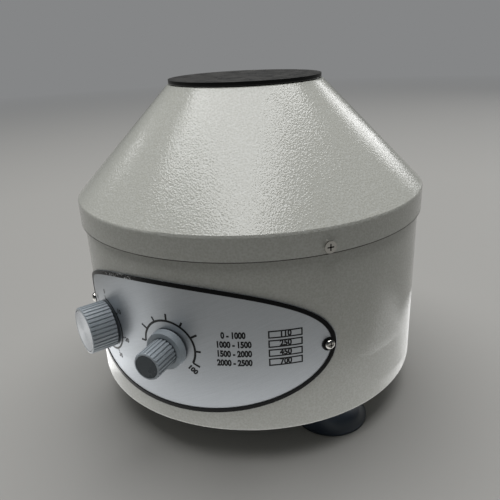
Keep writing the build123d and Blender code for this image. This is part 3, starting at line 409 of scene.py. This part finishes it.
def plated(name, colour, roughness, paintedShade=None):
    # bright metal, plated or ground: a mirror that a faint unevenness blurs here and there
    material, tree, shader, place = newMaterial(name, colour, roughness, metallic=1.0)
    smoothest, roughest = plating["roughness"]
    unevenness = addNode(
        tree,
        "ShaderNodeTexNoise",
        {"Scale": grainScale(plating["unevenness"]), "Detail": 2.0},
        {"Vector": place},
    ).outputs["Fac"]
    addNode(
        tree,
        "ShaderNodeBump",
        {"Strength": 0.5, "Distance": plating["relief"]},
        {"Height": unevenness},
        feeds=shader.inputs["Normal"],
    )
    addNode(
        tree,
        "ShaderNodeMapRange",
        {
            "From Min": 0.3,
            "From Max": 0.7,
            "To Min": roughness * smoothest,
            "To Max": roughness * roughest,
        },
        {"Value": unevenness},
        feeds=shader.inputs["Roughness"],
    )
    # painted shade in the recesses, where it is asked for
    if paintedShade:
        paintShade(tree, shader, *paintedShade)
    return material


plate = {
    "lowTone": "#a9adb1",
    "highTone": "#b1b5b9",
    "slant": 24,  # degrees that the strokes climb towards the right
    "strokeLength": 34,  # in stroke widths
    "strokeWidth": 0.55,  # mm, wider than the real ones so that they show
    "strokeDepth": 0.004 * mm,
    "speckle": 0.7,  # mm
    "speckleShare": 0.5,  # of the speckle in the tone, beside the strokes
    "roughness": (0.41, 0.44),
}


def drumFlat(tree, place):
    # the drum's side unrolled: x along the arc and y up
    split = addNode(tree, "ShaderNodeSeparateXYZ", links={0: place})
    away = addNode(
        tree, "ShaderNodeMath", {"operation": "MULTIPLY", 1: -1.0}, {0: split.outputs["Y"]}
    ).outputs[0]
    turn = addNode(
        tree, "ShaderNodeMath", {"operation": "ARCTAN2"}, {0: split.outputs["X"], 1: away}
    ).outputs[0]
    along = addNode(
        tree, "ShaderNodeMath", {"operation": "MULTIPLY", 1: panel["radius"]}, {0: turn}
    ).outputs[0]
    flat = addNode(tree, "ShaderNodeCombineXYZ", links={"X": along, "Y": split.outputs["Z"]})
    return flat.outputs[0]


def brushedPlate():
    # anodised aluminium, brushed at a slant before it was bent round the drum: satin, with streaks
    low, high = plate["roughness"]
    material, tree, shader, place = newMaterial(
        "brushedAnodisedAluminium", plate["lowTone"], low, metallic=1.0
    )
    slanted = addNode(
        tree,
        "ShaderNodeMapping",
        {
            "vector_type": "TEXTURE",
            "Rotation": (0, 0, math.radians(plate["slant"])),
            "Scale": (plate["strokeLength"], 1.0, 1.0),
        },
        {"Vector": drumFlat(tree, place)},
    ).outputs[0]
    strokes = addNode(
        tree,
        "ShaderNodeTexNoise",
        {"Scale": grainScale(plate["strokeWidth"]), "Detail": 3.0, "Roughness": 0.6},
        {"Vector": slanted},
    ).outputs["Fac"]
    addNode(
        tree,
        "ShaderNodeBump",
        {"Strength": 0.5, "Distance": plate["strokeDepth"]},
        {"Height": strokes},
        feeds=shader.inputs["Normal"],
    )
    addNode(
        tree,
        "ShaderNodeMapRange",
        {"From Min": 0.3, "From Max": 0.7, "To Min": low, "To Max": high},
        {"Value": strokes},
        feeds=shader.inputs["Roughness"],
    )
    specks = addNode(
        tree,
        "ShaderNodeTexNoise",
        {"Scale": grainScale(plate["speckle"]), "Detail": 2.0},
        {"Vector": place},
    ).outputs["Fac"]
    grain = addNode(
        tree,
        "ShaderNodeMath",
        {"operation": "MULTIPLY_ADD", 1: plate["speckleShare"]},
        {0: specks, 2: strokes},
    ).outputs[0]
    tone = addNode(
        tree, "ShaderNodeMapRange", {"From Min": 0.6, "From Max": 0.9}, {"Value": grain}
    ).outputs[0]
    brushed = addNode(
        tree,
        "ShaderNodeMix",
        {
            "data_type": "RGBA",
            mixFirst: linearColour(plate["lowTone"]),
            mixSecond: linearColour(plate["highTone"]),
        },
        {mixShare: tone},
    ).outputs[mixResult]
    tree.links.new(brushed, shader.inputs["Base Color"])
    return material


border = {
    "black": "#050607",
    "glintColour": "#c9cac8",
    "glintFleck": 3.0,  # mm
    "relief": 0.05 * mm,
    # where the flecks of painted highlight lie: from and to across the front, and the lowest
    # height, in metres
    "glintsFrom": -70 * mm,
    "glintsTo": -24 * mm,
    "glintsAbove": panel["middle"] + 36 * mm,
    "glintsFade": 4 * mm,
}


def paintedBorder():
    # black screen paint round the plate: deep and even, with pale flecks of painted highlight,
    # shaped as chips, along its upper left edge
    material, tree, shader, place = newMaterial(
        "blackScreenPaint", border["black"], 0.28, Specular_IOR_Level=0.12
    )
    glintFlecks = addNode(
        tree,
        "ShaderNodeTexNoise",
        {
            "Scale": grainScale(border["glintFleck"]),
            "Detail": 4.0,
            "Roughness": 0.7,
            "Distortion": 1.5,
        },
        {"Vector": place},
    ).outputs["Fac"]
    # painted highlight: pale flecks where the noise runs highest, in the upper left only
    glinting = addNode(
        tree, "ShaderNodeMapRange", {"From Min": 0.57, "From Max": 0.60}, {"Value": glintFlecks}
    ).outputs[0]
    split = addNode(tree, "ShaderNodeSeparateXYZ", links={0: place})
    # each way, the painted highlight flecks start or end over a short fade
    for axis, start, before, after in (
        ("X", border["glintsFrom"], 0.0, 1.0),
        ("X", border["glintsTo"], 1.0, 0.0),
        ("Z", border["glintsAbove"], 0.0, 1.0),
    ):
        mask = addNode(
            tree,
            "ShaderNodeMapRange",
            {
                "From Min": start,
                "From Max": start + border["glintsFade"],
                "To Min": before,
                "To Max": after,
            },
            {"Value": split.outputs[axis]},
        ).outputs[0]
        glinting = addNode(
            tree, "ShaderNodeMath", {"operation": "MULTIPLY"}, {0: glinting, 1: mask}
        ).outputs[0]
    paint = addNode(
        tree,
        "ShaderNodeMix",
        {
            "data_type": "RGBA",
            mixFirst: linearColour(border["black"]),
            mixSecond: linearColour(border["glintColour"]),
        },
        {mixShare: glinting},
    ).outputs[mixResult]
    tree.links.new(paint, shader.inputs["Base Color"])
    # a negative depth, so that the flecks of painted highlight lie below the paint, as chips would
    addNode(
        tree,
        "ShaderNodeBump",
        {"Strength": 0.8, "Distance": -border["relief"]},
        {"Height": glinting},
        feeds=shader.inputs["Normal"],
    )
    return material


casting = {"smoother": 0.06, "rougher": 0.08}  # either side of the metal's own roughness


def castMetal(name, colour, roughness, grain, depth):
    # bare metal as cast, spun or etched: a grain that scatters its reflections
    material, tree, shader, place = newMaterial(name, colour, roughness, metallic=1.0)
    skin = addNode(
        tree, "ShaderNodeTexNoise", {"Scale": grainScale(grain), "Detail": 4.0}, {"Vector": place}
    ).outputs["Fac"]
    addNode(
        tree,
        "ShaderNodeBump",
        {"Strength": 0.7, "Distance": depth * mm},
        {"Height": skin},
        feeds=shader.inputs["Normal"],
    )
    addNode(
        tree,
        "ShaderNodeMapRange",
        {
            "From Min": 0.3,
            "From Max": 0.7,
            "To Min": roughness - casting["smoother"],
            "To Max": roughness + casting["rougher"],
        },
        {"Value": skin},
        feeds=shader.inputs["Roughness"],
    )
    return material


stack = {"relief": 0.08 * mm, "waviness": 0.6}


def layered(name, colour, other, roughness, pitch, metallic):
    # thin layers stacked along the shaft, as in laminations and windings: fine level bands, drawn
    # several times as coarse as the real ones so that they show
    material, tree, shader, place = newMaterial(name, colour, roughness, metallic)
    bands = addNode(
        tree,
        "ShaderNodeTexWave",
        {
            "bands_direction": "Z",
            "Scale": grainScale(pitch) / (2 * math.pi),  # the bands come out at twice the pitch
            "Distortion": stack["waviness"],
        },
        {"Vector": place},
    ).outputs["Fac"]
    addNode(
        tree,
        "ShaderNodeBump",
        {"Strength": 0.8, "Distance": stack["relief"]},
        {"Height": bands},
        feeds=shader.inputs["Normal"],
    )
    banded = addNode(
        tree,
        "ShaderNodeMix",
        {
            "data_type": "RGBA",
            mixFirst: linearColour(other),
            mixSecond: linearColour(colour),
        },
        {mixShare: bands},
    ).outputs[mixResult]
    tree.links.new(banded, shader.inputs["Base Color"])
    return material


def clearGlass():
    # soda glass, drawn into the fuse's tube: clear, with a sharp highlight
    return newMaterial("sodaGlass", "#e8f0ee", 0.04, Transmission_Weight=1.0, IOR=1.52)[0]


def onPanel(along, up):
    # a flat place on the panel, bent round the drum
    turn = along / panel["radius"]
    reach = panel["radius"] + panel["inkLift"]
    return Vector((reach * math.sin(turn), -reach * math.cos(turn), panel["middle"] + up))


def stripInk(shape, line, width):
    # a ribbon of ink along a list of flat places
    rows = []
    for index, here in enumerate(line):
        before = line[max(index - 1, 0)]
        after = line[min(index + 1, len(line) - 1)]
        across = (after - before).normalized().orthogonal() * width / 2
        rows.append([shape.verts.new(onPanel(*spot)) for spot in (here + across, here - across)])
    for first, second in zip(rows, rows[1:]):
        shape.faces.new((first[0], second[0], second[1], first[1]))


def straightInk(shape, start, end, width):
    steps = math.ceil((end - start).length / panel["stepAlong"])
    stripInk(shape, [start.lerp(end, step / steps) for step in range(steps + 1)], width)


def dialPoint(centre, radius, degrees):
    # clockwise from the top, as a dial is read
    turn = math.radians(degrees)
    return Vector((centre[0] + radius * math.sin(turn), centre[1] + radius * math.cos(turn)))


def arcInk(shape, centre, radius, start, end, width):
    steps = math.ceil((end - start) / panel["stepRound"])
    line = [
        dialPoint(centre, radius, start + (end - start) * step / steps) for step in range(steps + 1)
    ]
    stripInk(shape, line, width)


def numberInk(shape, text, place, size, weight, turn=0.0, wide=1.0):
    # a number set flat, then bent round the drum with the rest of the ink
    curve = bpy.data.curves.new("numeral", "FONT")
    curve.body = text
    curve.size = size
    curve.offset = weight
    curve.align_x = "CENTER"
    curve.align_y = "CENTER"
    curve.resolution_u = panel["numeralSteps"]
    letter = bpy.data.objects.new("numeral", curve)
    bpy.context.scene.collection.objects.link(letter)
    bpy.context.view_layer.update()
    flat = bpy.data.meshes.new_from_object(
        letter.evaluated_get(bpy.context.evaluated_depsgraph_get())
    )
    spin = Matrix.Rotation(-math.radians(turn), 2)
    corners = []
    for corner in flat.vertices:
        spot = spin @ Vector((corner.co.x * wide, corner.co.y)) + place
        corners.append(shape.verts.new(onPanel(*spot)))
    for face in flat.polygons:
        shape.faces.new([corners[index] for index in face.vertices])
    bpy.data.objects.remove(letter)
    bpy.data.curves.remove(curve)
    bpy.data.meshes.remove(flat)


def finishPiece(name, shape, material, body):
    mesh = bpy.data.meshes.new(name)
    shape.to_mesh(mesh)
    shape.free()
    mesh.materials.append(material)
    piece = bpy.data.objects.new(name, mesh)
    bpy.context.scene.collection.objects.link(piece)
    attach(piece, body)


inkFilm = {
    "black": "#060708",
    "roughness": 0.4,
    "grain": 0.4,  # mm
    "relief": 0.01 * mm,
}


def blackInk():
    # screen ink: flat black, thick enough to catch a little light at its edges
    material, tree, shader, place = newMaterial(
        "screenPrintedInk", inkFilm["black"], inkFilm["roughness"], Specular_IOR_Level=0.3
    )
    grain = addNode(
        tree,
        "ShaderNodeTexNoise",
        {"Scale": grainScale(inkFilm["grain"]), "Detail": 2.0},
        {"Vector": place},
    ).outputs["Fac"]
    addNode(
        tree,
        "ShaderNodeBump",
        {"Strength": 0.5, "Distance": inkFilm["relief"]},
        {"Height": grain},
        feeds=shader.inputs["Normal"],
    )
    return material


ink = blackInk()

# angles go clockwise from the top, in degrees, and places are taken from the panel's middle
speedDial = {
    "centre": (0.0, 0.0),
    "arcRadius": 18.8 * mm,
    "lineWidth": 1.55 * mm,
    "arc": (-90, 118),
    "tickWidth": 1.45 * mm,
    "shortTicks": (-90, -30, 30, 90),
    "longTicks": (-60, 0, 60, 118),
    "shortReach": 22.6 * mm,
    "longReach": 24.0 * mm,
    "endNumber": "100",
    "endAngle": 131,
    "endRadius": 21.2 * mm,
    "endSize": 4.8 * mm,
    "endWeight": 0.34 * mm,
}


def makeSpeedDial():
    dial = speedDial
    shape = bmesh.new()
    arcInk(shape, dial["centre"], dial["arcRadius"], *dial["arc"], dial["lineWidth"])
    for degrees in dial["shortTicks"] + dial["longTicks"]:
        reach = dial["longReach"] if degrees in dial["longTicks"] else dial["shortReach"]
        straightInk(
            shape,
            dialPoint(dial["centre"], dial["arcRadius"], degrees),
            dialPoint(dial["centre"], reach, degrees),
            dial["tickWidth"],
        )
    spot = dialPoint(dial["centre"], dial["endRadius"], dial["endAngle"])
    lean = dial["endAngle"] - 90  # the number reads outwards from the dial's middle
    numberInk(shape, dial["endNumber"], spot, dial["endSize"], dial["endWeight"], lean)
    finishPiece("speedDialInk", shape, ink, "housing")


timerLow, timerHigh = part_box("timer_knob")
timerMiddle = (timerLow + timerHigh) / 2
timerDial = {
    "centre": (
        math.atan2(timerMiddle.x, -timerMiddle.y) * panel["radius"],
        timerMiddle.z - panel["middle"],
    ),
    "arcRadius": 19.2 * mm,
    "lineWidth": 1.5 * mm,
    "stepAngle": 50,
    "stepMinutes": 10,
    "minutes": 60,
    "tickReach": 21.6 * mm,
    "tickWidth": 1.1 * mm,
    "numberRadius": 24.6 * mm,
    "numberSize": 4.6 * mm,
    "numberWeight": 0.2 * mm,
}


def makeTimerDial():
    dial = timerDial
    shape = bmesh.new()
    steps = dial["minutes"] // dial["stepMinutes"]
    sweep = steps * dial["stepAngle"]
    arcInk(shape, dial["centre"], dial["arcRadius"], 0, sweep, dial["lineWidth"])
    for step in range(steps + 1):
        degrees = step * dial["stepAngle"]
        straightInk(
            shape,
            dialPoint(dial["centre"], dial["arcRadius"], degrees),
            dialPoint(dial["centre"], dial["tickReach"], degrees),
            dial["tickWidth"],
        )
        spot = dialPoint(dial["centre"], dial["numberRadius"], degrees)
        minutes = str(step * dial["stepMinutes"])
        numberInk(shape, minutes, spot, dial["numberSize"], dial["numberWeight"])
    finishPiece("timerDialInk", shape, ink, "housing")


numberTable = {
    "boxLeft": 65.5 * mm,
    "boxRight": 87.2 * mm,
    "boxHeight": 5.4 * mm,
    "pitch": 6.55 * mm,
    "rowsAboveMiddle": 2,
    "frameWidth": 0.95 * mm,
    "labelMiddle": 44.0 * mm,
    "labelSize": 6.0 * mm,
    "labelWeight": 0.34 * mm,
    "labelWide": 0.76,
    "valueSize": 5.9 * mm,
    "valueWeight": 0.30 * mm,
    "valueWide": 0.85,
    "labels": ("0 - 1000", "1000 - 1500", "1500 - 2000", "2000 - 2500"),
    "values": ("110", "250", "450", "700"),
}


def makeNumberTable():
    table = numberTable
    shape = bmesh.new()
    left, right = table["boxLeft"], table["boxRight"]
    inset = table["frameWidth"] / 2
    for row, (label, value) in enumerate(zip(table["labels"], table["values"])):
        level = (table["rowsAboveMiddle"] - row) * table["pitch"]
        top, bottom = level + table["boxHeight"] / 2, level - table["boxHeight"] / 2
        for start, end in (
            ((left, top - inset), (right, top - inset)),
            ((left, bottom + inset), (right, bottom + inset)),
            ((left + inset, bottom), (left + inset, top)),
            ((right - inset, bottom), (right - inset, top)),
        ):
            straightInk(shape, Vector(start), Vector(end), table["frameWidth"])
        for words, middle, kind in (
            (value, (left + right) / 2, "value"),
            (label, table["labelMiddle"], "label"),
        ):
            size, weight, wide = (table[kind + part] for part in ("Size", "Weight", "Wide"))
            numberInk(shape, words, Vector((middle, level)), size, weight, wide=wide)
    finishPiece("numberTableInk", shape, ink, "housing")


makeSpeedDial()
makeTimerDial()
makeNumberTable()
print("panel printed")


# the discs let into the knobs' faces
knobCaps = {
    "timer_knob": {"radius": 15.0 * mm, "sink": 0.35 * mm, "colour": "#696e72"},
    "speed_knob": {"radius": 7.6 * mm, "sink": 0.35 * mm, "colour": "#363f44"},
}
capShape = {
    "thickness": 0.8,  # share of the sink that the disc fills
    "bevel": 0.6,  # share of the disc's thickness
    "sides": 96,
}
turning = {
    "grain": 0.5,  # mm
    "relief": 0.004 * mm,
    "roughness": (0.16, 0.26),
    "stretch": 0.9,  # how far the grooves draw a reflection out
}


def knobFace(node):
    # the middle of a knob's front face and the way that it points; its axis crosses the drum's
    low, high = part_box(node)
    middle = (low + high) / 2
    outward = Vector((middle.x, middle.y, 0)).normalized()
    knob = nodes[node]
    front = max((knob.matrix_world @ corner.co).dot(outward) for corner in knob.data.vertices)
    return outward * front + Vector((0, 0, middle.z)), outward


def turnedDisc(node):
    # turned aluminium: the lathe's grooves run round the middle and draw each reflection into a fan
    face, outward = knobFace(node)
    low, high = turning["roughness"]
    material, tree, shader, place = newMaterial(
        "turnedAluminium",
        knobCaps[node]["colour"],
        low,
        metallic=1.0,
        Anisotropic=turning["stretch"],
    )
    fromMiddle = addNode(
        tree, "ShaderNodeVectorMath", {"operation": "SUBTRACT", 1: tuple(face)}, {0: place}
    ).outputs[0]
    around = addNode(
        tree,
        "ShaderNodeVectorMath",
        {"operation": "CROSS_PRODUCT", 1: tuple(outward)},
        {0: fromMiddle},
    ).outputs[0]
    # turned with the knob, so that the grooves stay round the middle at every setting
    addNode(
        tree,
        "ShaderNodeVectorTransform",
        {"vector_type": "VECTOR", "convert_from": "OBJECT", "convert_to": "WORLD"},
        {0: around},
        feeds=shader.inputs["Tangent"],
    )
    grain = addNode(
        tree,
        "ShaderNodeTexNoise",
        {"Scale": grainScale(turning["grain"]), "Detail": 3.0},
        {"Vector": place},
    ).outputs["Fac"]
    addNode(
        tree,
        "ShaderNodeBump",
        {"Strength": 0.5, "Distance": turning["relief"]},
        {"Height": grain},
        feeds=shader.inputs["Normal"],
    )
    addNode(
        tree,
        "ShaderNodeMapRange",
        {"From Min": 0.3, "From Max": 0.7, "To Min": low, "To Max": high},
        {"Value": grain},
        feeds=shader.inputs["Roughness"],
    )
    return material


def makeKnobCap(node, material):
    cap = knobCaps[node]
    face, outward = knobFace(node)
    thick = cap["sink"] * capShape["thickness"]
    shape = bmesh.new()
    bmesh.ops.create_cone(
        shape,
        cap_ends=True,
        segments=capShape["sides"],
        radius1=cap["radius"],
        radius2=cap["radius"] - thick * capShape["bevel"],
        depth=thick,
    )
    middle = face - outward * (cap["sink"] - thick / 2)
    stand = outward.to_track_quat("Z", "Y").to_matrix().to_4x4()
    bmesh.ops.transform(shape, matrix=Matrix.Translation(middle) @ stand, verts=shape.verts)
    finishPiece(node.split("_")[0] + "KnobFace", shape, material, node)


slate = knobCaps["speed_knob"]["colour"]
makeKnobCap("timer_knob", turnedDisc("timer_knob"))
# a dark insert with a finer grain than the knob round it
makeKnobCap("speed_knob", moulded("slateInsert", slate, 0.3, grain=0.4, depth=0.01))
print("knob caps in")


# each finish and the nodes that have it; the number after a colour is the roughness, and grain,
# depth, pitch and the painted shade's reach are in mm
finishes = (
    (powderCoat(), ("drum_shell", "hood")),
    (lidAbs(), ("lid",)),
    (brushedPlate(), ("control_panel",)),
    (paintedBorder(), ("panel_border",)),
    # satin, with soft highlights along the ribs and dark painted shade between them
    (
        moulded("greyAbs", "#959da3", 0.32, grain=0.5, depth=0.015, paintedShade=(1.6, "#42484d")),
        ("timer_knob", "speed_knob"),
    ),
    # a dull black with a visible moulded grain
    (
        moulded("blackNylon", "#141516", 0.42, grain=0.8, depth=0.03),
        ("power_module", "fuse_drawer", "brush_holders"),
    ),
    # polished, with sharp reflections
    (
        moulded("glossBlackAbs", "#101112", 0.16, grain=1.2, depth=0.004, fleck=0.04),
        ("power_rocker",),
    ),
    # dark and slightly blue, with soft highlights
    (
        moulded("greyNitrileRubber", "#2c343f", 0.36, grain=1.0, depth=0.02),
        ("suction_foot_1", "suction_foot_2", "suction_foot_3"),
    ),
    # matt, with hardly a highlight
    (
        moulded("blackRubber", "#17181a", 0.62, grain=0.9, depth=0.04),
        (
            "isolators",
            "shaft_boot",
            "hood_gasket",
            "lid_seal",
            "module_gasket",
            "tube_cushions",
        ),
    ),
    # a warm mirror, with painted shade that blackens the slots
    (
        plated("nickelPlatedSteel", "#bdbbb6", 0.1, paintedShade=(1.3, "#0c0b0b")),
        ("hood_screws", "panel_screws", "bowl_screws", "base_screws", "foot_screws"),
    ),
    # pale and half dull
    (plated("zincPlatedSteel", "#b9b9b4", 0.28), ("isolator_bolts", "bush_nuts", "rotor_nut")),
    # a cool, slightly blurred mirror
    (
        plated("groundSteel", "#b4b5b6", 0.2),
        ("motor_shaft", "bearing_outer_races", "bearing_inner_races", "bearing_balls"),
    ),
    # paint with a coarse grain: black, and dark grey of the same kind
    (
        moulded("blackPaintedSteel", "#1a1b1d", 0.4, grain=1.4, depth=0.05),
        ("base_plate", "motor_bracket"),
    ),
    (moulded("greyPaintedSteel", "#3d4145", 0.38, grain=1.4, depth=0.04), ("motor_housing",)),
    # pale metals that blur their reflections: spun smooth, cast and sparkling, etched and even
    (castMetal("spunAluminium", "#c2c3c3", 0.34, grain=1.2, depth=0.01), ("chamber_bowl",)),
    (
        castMetal("castAluminium", "#b7b8b8", 0.46, grain=0.9, depth=0.06),
        ("rotor_head", "motor_lower_bell", "motor_upper_bell"),
    ),
    (
        castMetal("satinAnodisedAluminium", "#c4c5c7", 0.3, grain=0.5, depth=0.01),
        tuple(f"tube_shield_{number}" for number in range(1, 7)),
    ),
    # grey sheets edge on, and turns of lacquered wire
    (
        layered("siliconSteelStack", "#6d6e70", "#3c3d3f", 0.5, pitch=0.9, metallic=1.0),
        ("armature_core", "field_core"),
    ),
    (
        layered("enamelledCopper", "#a8562c", "#5e2a14", 0.34, pitch=0.8, metallic=0.8),
        ("armature_winding", "field_coils"),
    ),
    # bare copper that the brushes have polished
    (plated("barCopper", "#c07a4e", 0.3), ("commutator",)),
    # pressed carbon, dusty black
    (moulded("carbonBlock", "#1b1b1c", 0.7, grain=0.4, depth=0.03), ("brushes",)),
    # warm yellow and fairly bright
    (
        plated("turnedBrass", "#c9a75c", 0.26),
        ("timer_shaft", "speed_shaft", "board_posts", "module_pins"),
    ),
    # near black, with the dull sheen of a pressed resin
    (
        moulded("greyPhenolic", "#2b2c2f", 0.44, grain=0.7, depth=0.03),
        ("timer_case", "speed_control", "board_components"),
    ),
    # green lacquer, fairly glossy
    (moulded("solderMaskBoard", "#1d5a38", 0.3, grain=1.1, depth=0.02), ("speed_board",)),
    (clearGlass(), ("fuse",)),
)

for material, names in finishes:
    for name in names:
        for slot in nodes[name].material_slots:
            slot.material = material
unfinished = set(nodes) - {name for material, names in finishes for name in names}
print("finishes on; nodes without one:", sorted(unfinished))


studio = {
    "floorSize": 24.0,
    "floorColour": "#898885",
    "worldColour": "#b4bac0",
    "worldStrength": 0.10,
    "wallColour": "#858687",
    "fade": (0.7, 3.0),  # metres from the object where the floor starts and ends its fade
    "aim": (0.0, 0.0, 0.15),
    # softboxes: size across and along in metres, power in watts, and the place of the middle
    "softboxes": {
        "overhead": {
            "size": (2.7, 2.95),
            "power": 112.0,
            "place": (-0.32, 0.42, 2.4),
            "turn": -15.5,
        },
        "rightRear": {"size": (0.5, 0.75), "power": 3.2, "place": (0.45, 1.95, 0.78)},
        "left": {"size": (0.2, 0.22), "power": 0.32, "place": (-1.94, 0.48, 1.03)},
    },
    # pale cards lying on the bench, out of the view, that throw light back up at the drum
    "cards": {
        "front": {"size": (0.43, 0.43), "power": 0.38, "place": (0.0, 0.0, 0.002), "shape": "DISK"},
        "right": {
            "size": (0.16, 0.09),
            "power": 0.028,
            "place": (0.209, 0.040, 0.002),
            "turn": -43.5,
        },
        "left": {"size": (0.16, 0.24), "power": 0.12, "place": (-0.20, -0.15, 0.002)},
    },
}


def makeFloor():
    # a plain pale floor, which far off fades into the wall's tone as a studio cove does
    material, tree, shader, place = newMaterial("paleFloor", studio["floorColour"], 0.7)
    away = addNode(
        tree, "ShaderNodeVectorMath", {"operation": "LENGTH"}, {0: place}
    ).outputs["Value"]
    near, far = studio["fade"]
    faded = addNode(
        tree, "ShaderNodeMapRange", {"From Min": near, "From Max": far}, {"Value": away}
    ).outputs[0]
    seen = addNode(tree, "ShaderNodeLightPath").outputs["Is Camera Ray"]
    share = addNode(
        tree, "ShaderNodeMath", {"operation": "MULTIPLY"}, {0: faded, 1: seen}
    ).outputs[0]
    wall = addNode(tree, "ShaderNodeEmission", {"Color": linearColour(studio["wallColour"])})
    output = next(node for node in tree.nodes if node.type == "OUTPUT_MATERIAL")
    addNode(
        tree,
        "ShaderNodeMixShader",
        links={0: share, 1: shader.outputs["BSDF"], 2: wall.outputs["Emission"]},
        feeds=output.inputs["Surface"],
    )
    shape = bmesh.new()
    bmesh.ops.create_grid(shape, x_segments=2, y_segments=2, size=studio["floorSize"] / 2)
    mesh = bpy.data.meshes.new("floor")
    shape.to_mesh(mesh)
    shape.free()
    mesh.materials.append(material)
    floor = bpy.data.objects.new("floor", mesh)
    bpy.context.scene.collection.objects.link(floor)


def placeLamp(light, place, rotation):
    # the lamps light and mirror, but never stand in the view themselves
    lamp = bpy.data.objects.new(light.name, light)
    lamp.location = place
    lamp.rotation_mode = "QUATERNION"
    lamp.rotation_quaternion = rotation
    lamp.visible_camera = False
    bpy.context.scene.collection.objects.link(lamp)


def makeSoftbox(name, box):
    # one with a turn lies level overhead, and the others lean towards the object
    light = bpy.data.lights.new(name, "AREA")
    light.shape = "RECTANGLE"
    light.size, light.size_y = box["size"]
    light.energy = box["power"]
    if "turn" in box:
        rotation = Matrix.Rotation(math.radians(box["turn"]), 3, "Z").to_quaternion()
    else:
        ahead = Vector(studio["aim"]) - Vector(box["place"])
        rotation = ahead.to_track_quat("-Z", "Y")
    placeLamp(light, box["place"], rotation)


def makeCard(name, card):
    light = bpy.data.lights.new(name + "Card", "AREA")
    light.shape = card.get("shape", "RECTANGLE")
    light.size, light.size_y = card["size"]
    light.energy = card["power"]
    facingUp = Matrix.Rotation(math.pi, 3, "X")
    turn = Matrix.Rotation(math.radians(card.get("turn", 0)), 3, "Z")
    placeLamp(light, card["place"], (facingUp @ turn).to_quaternion())


def makeWorld():
    # a dim room for the light, and a pale wall far off where the view looks past the floor
    world = bpy.data.worlds.new("softStudio")
    world.use_nodes = True
    tree = world.node_tree
    room = tree.nodes["Background"]
    room.inputs["Color"].default_value = linearColour(studio["worldColour"])
    room.inputs["Strength"].default_value = studio["worldStrength"]
    wall = addNode(tree, "ShaderNodeBackground", {"Color": linearColour(studio["wallColour"])})
    seen = addNode(tree, "ShaderNodeLightPath").outputs["Is Camera Ray"]
    addNode(
        tree,
        "ShaderNodeMixShader",
        links={0: seen, 1: room.outputs[0], 2: wall.outputs[0]},
        feeds=tree.nodes["World Output"].inputs["Surface"],
    )
    bpy.context.scene.world = world


camera = {
    "azimuth": 26.1,  # degrees round from the panel's middle, towards +X
    "reach": 414.7 * mm,
    "height": 271.0 * mm,
    "tiltDown": 21.87,  # this angle, the swing and the roll are in degrees
    "swing": -0.3,
    "roll": -2.77,
    "lens": 38.91,  # the lens and the sensor are in mm
    "sensor": 36.0,
}


def makeCamera():
    turn = Matrix.Rotation(math.radians(camera["azimuth"]), 3, "Z")
    place = turn @ Vector((0, -camera["reach"], camera["height"]))
    down, swing = math.radians(camera["tiltDown"]), math.radians(camera["swing"])
    ahead = turn @ Vector(
        (math.sin(swing) * math.cos(down), math.cos(swing) * math.cos(down), -math.sin(down))
    )
    level = ahead.cross(Vector((0, 0, 1))).normalized()
    above = level.cross(ahead)
    roll = math.radians(camera["roll"])
    right = level * math.cos(roll) + above * math.sin(roll)
    up = above * math.cos(roll) - level * math.sin(roll)
    lens = bpy.data.cameras.new("camera")
    lens.lens = camera["lens"]
    lens.sensor_width = camera["sensor"]
    viewer = bpy.data.objects.new("camera", lens)
    axes = Matrix((right, up, -ahead)).transposed().to_4x4()
    viewer.matrix_world = Matrix.Translation(place) @ axes
    bpy.context.scene.collection.objects.link(viewer)
    bpy.context.scene.camera = viewer


makeFloor()
makeWorld()
# plain tones, with no film curve over them
bpy.context.scene.view_settings.view_transform = "Standard"
for name, box in studio["softboxes"].items():
    makeSoftbox(name, box)
for name, card in studio["cards"].items():
    makeCard(name, card)
makeCamera()
print("studio ready")

bpy.context.view_layer.update()
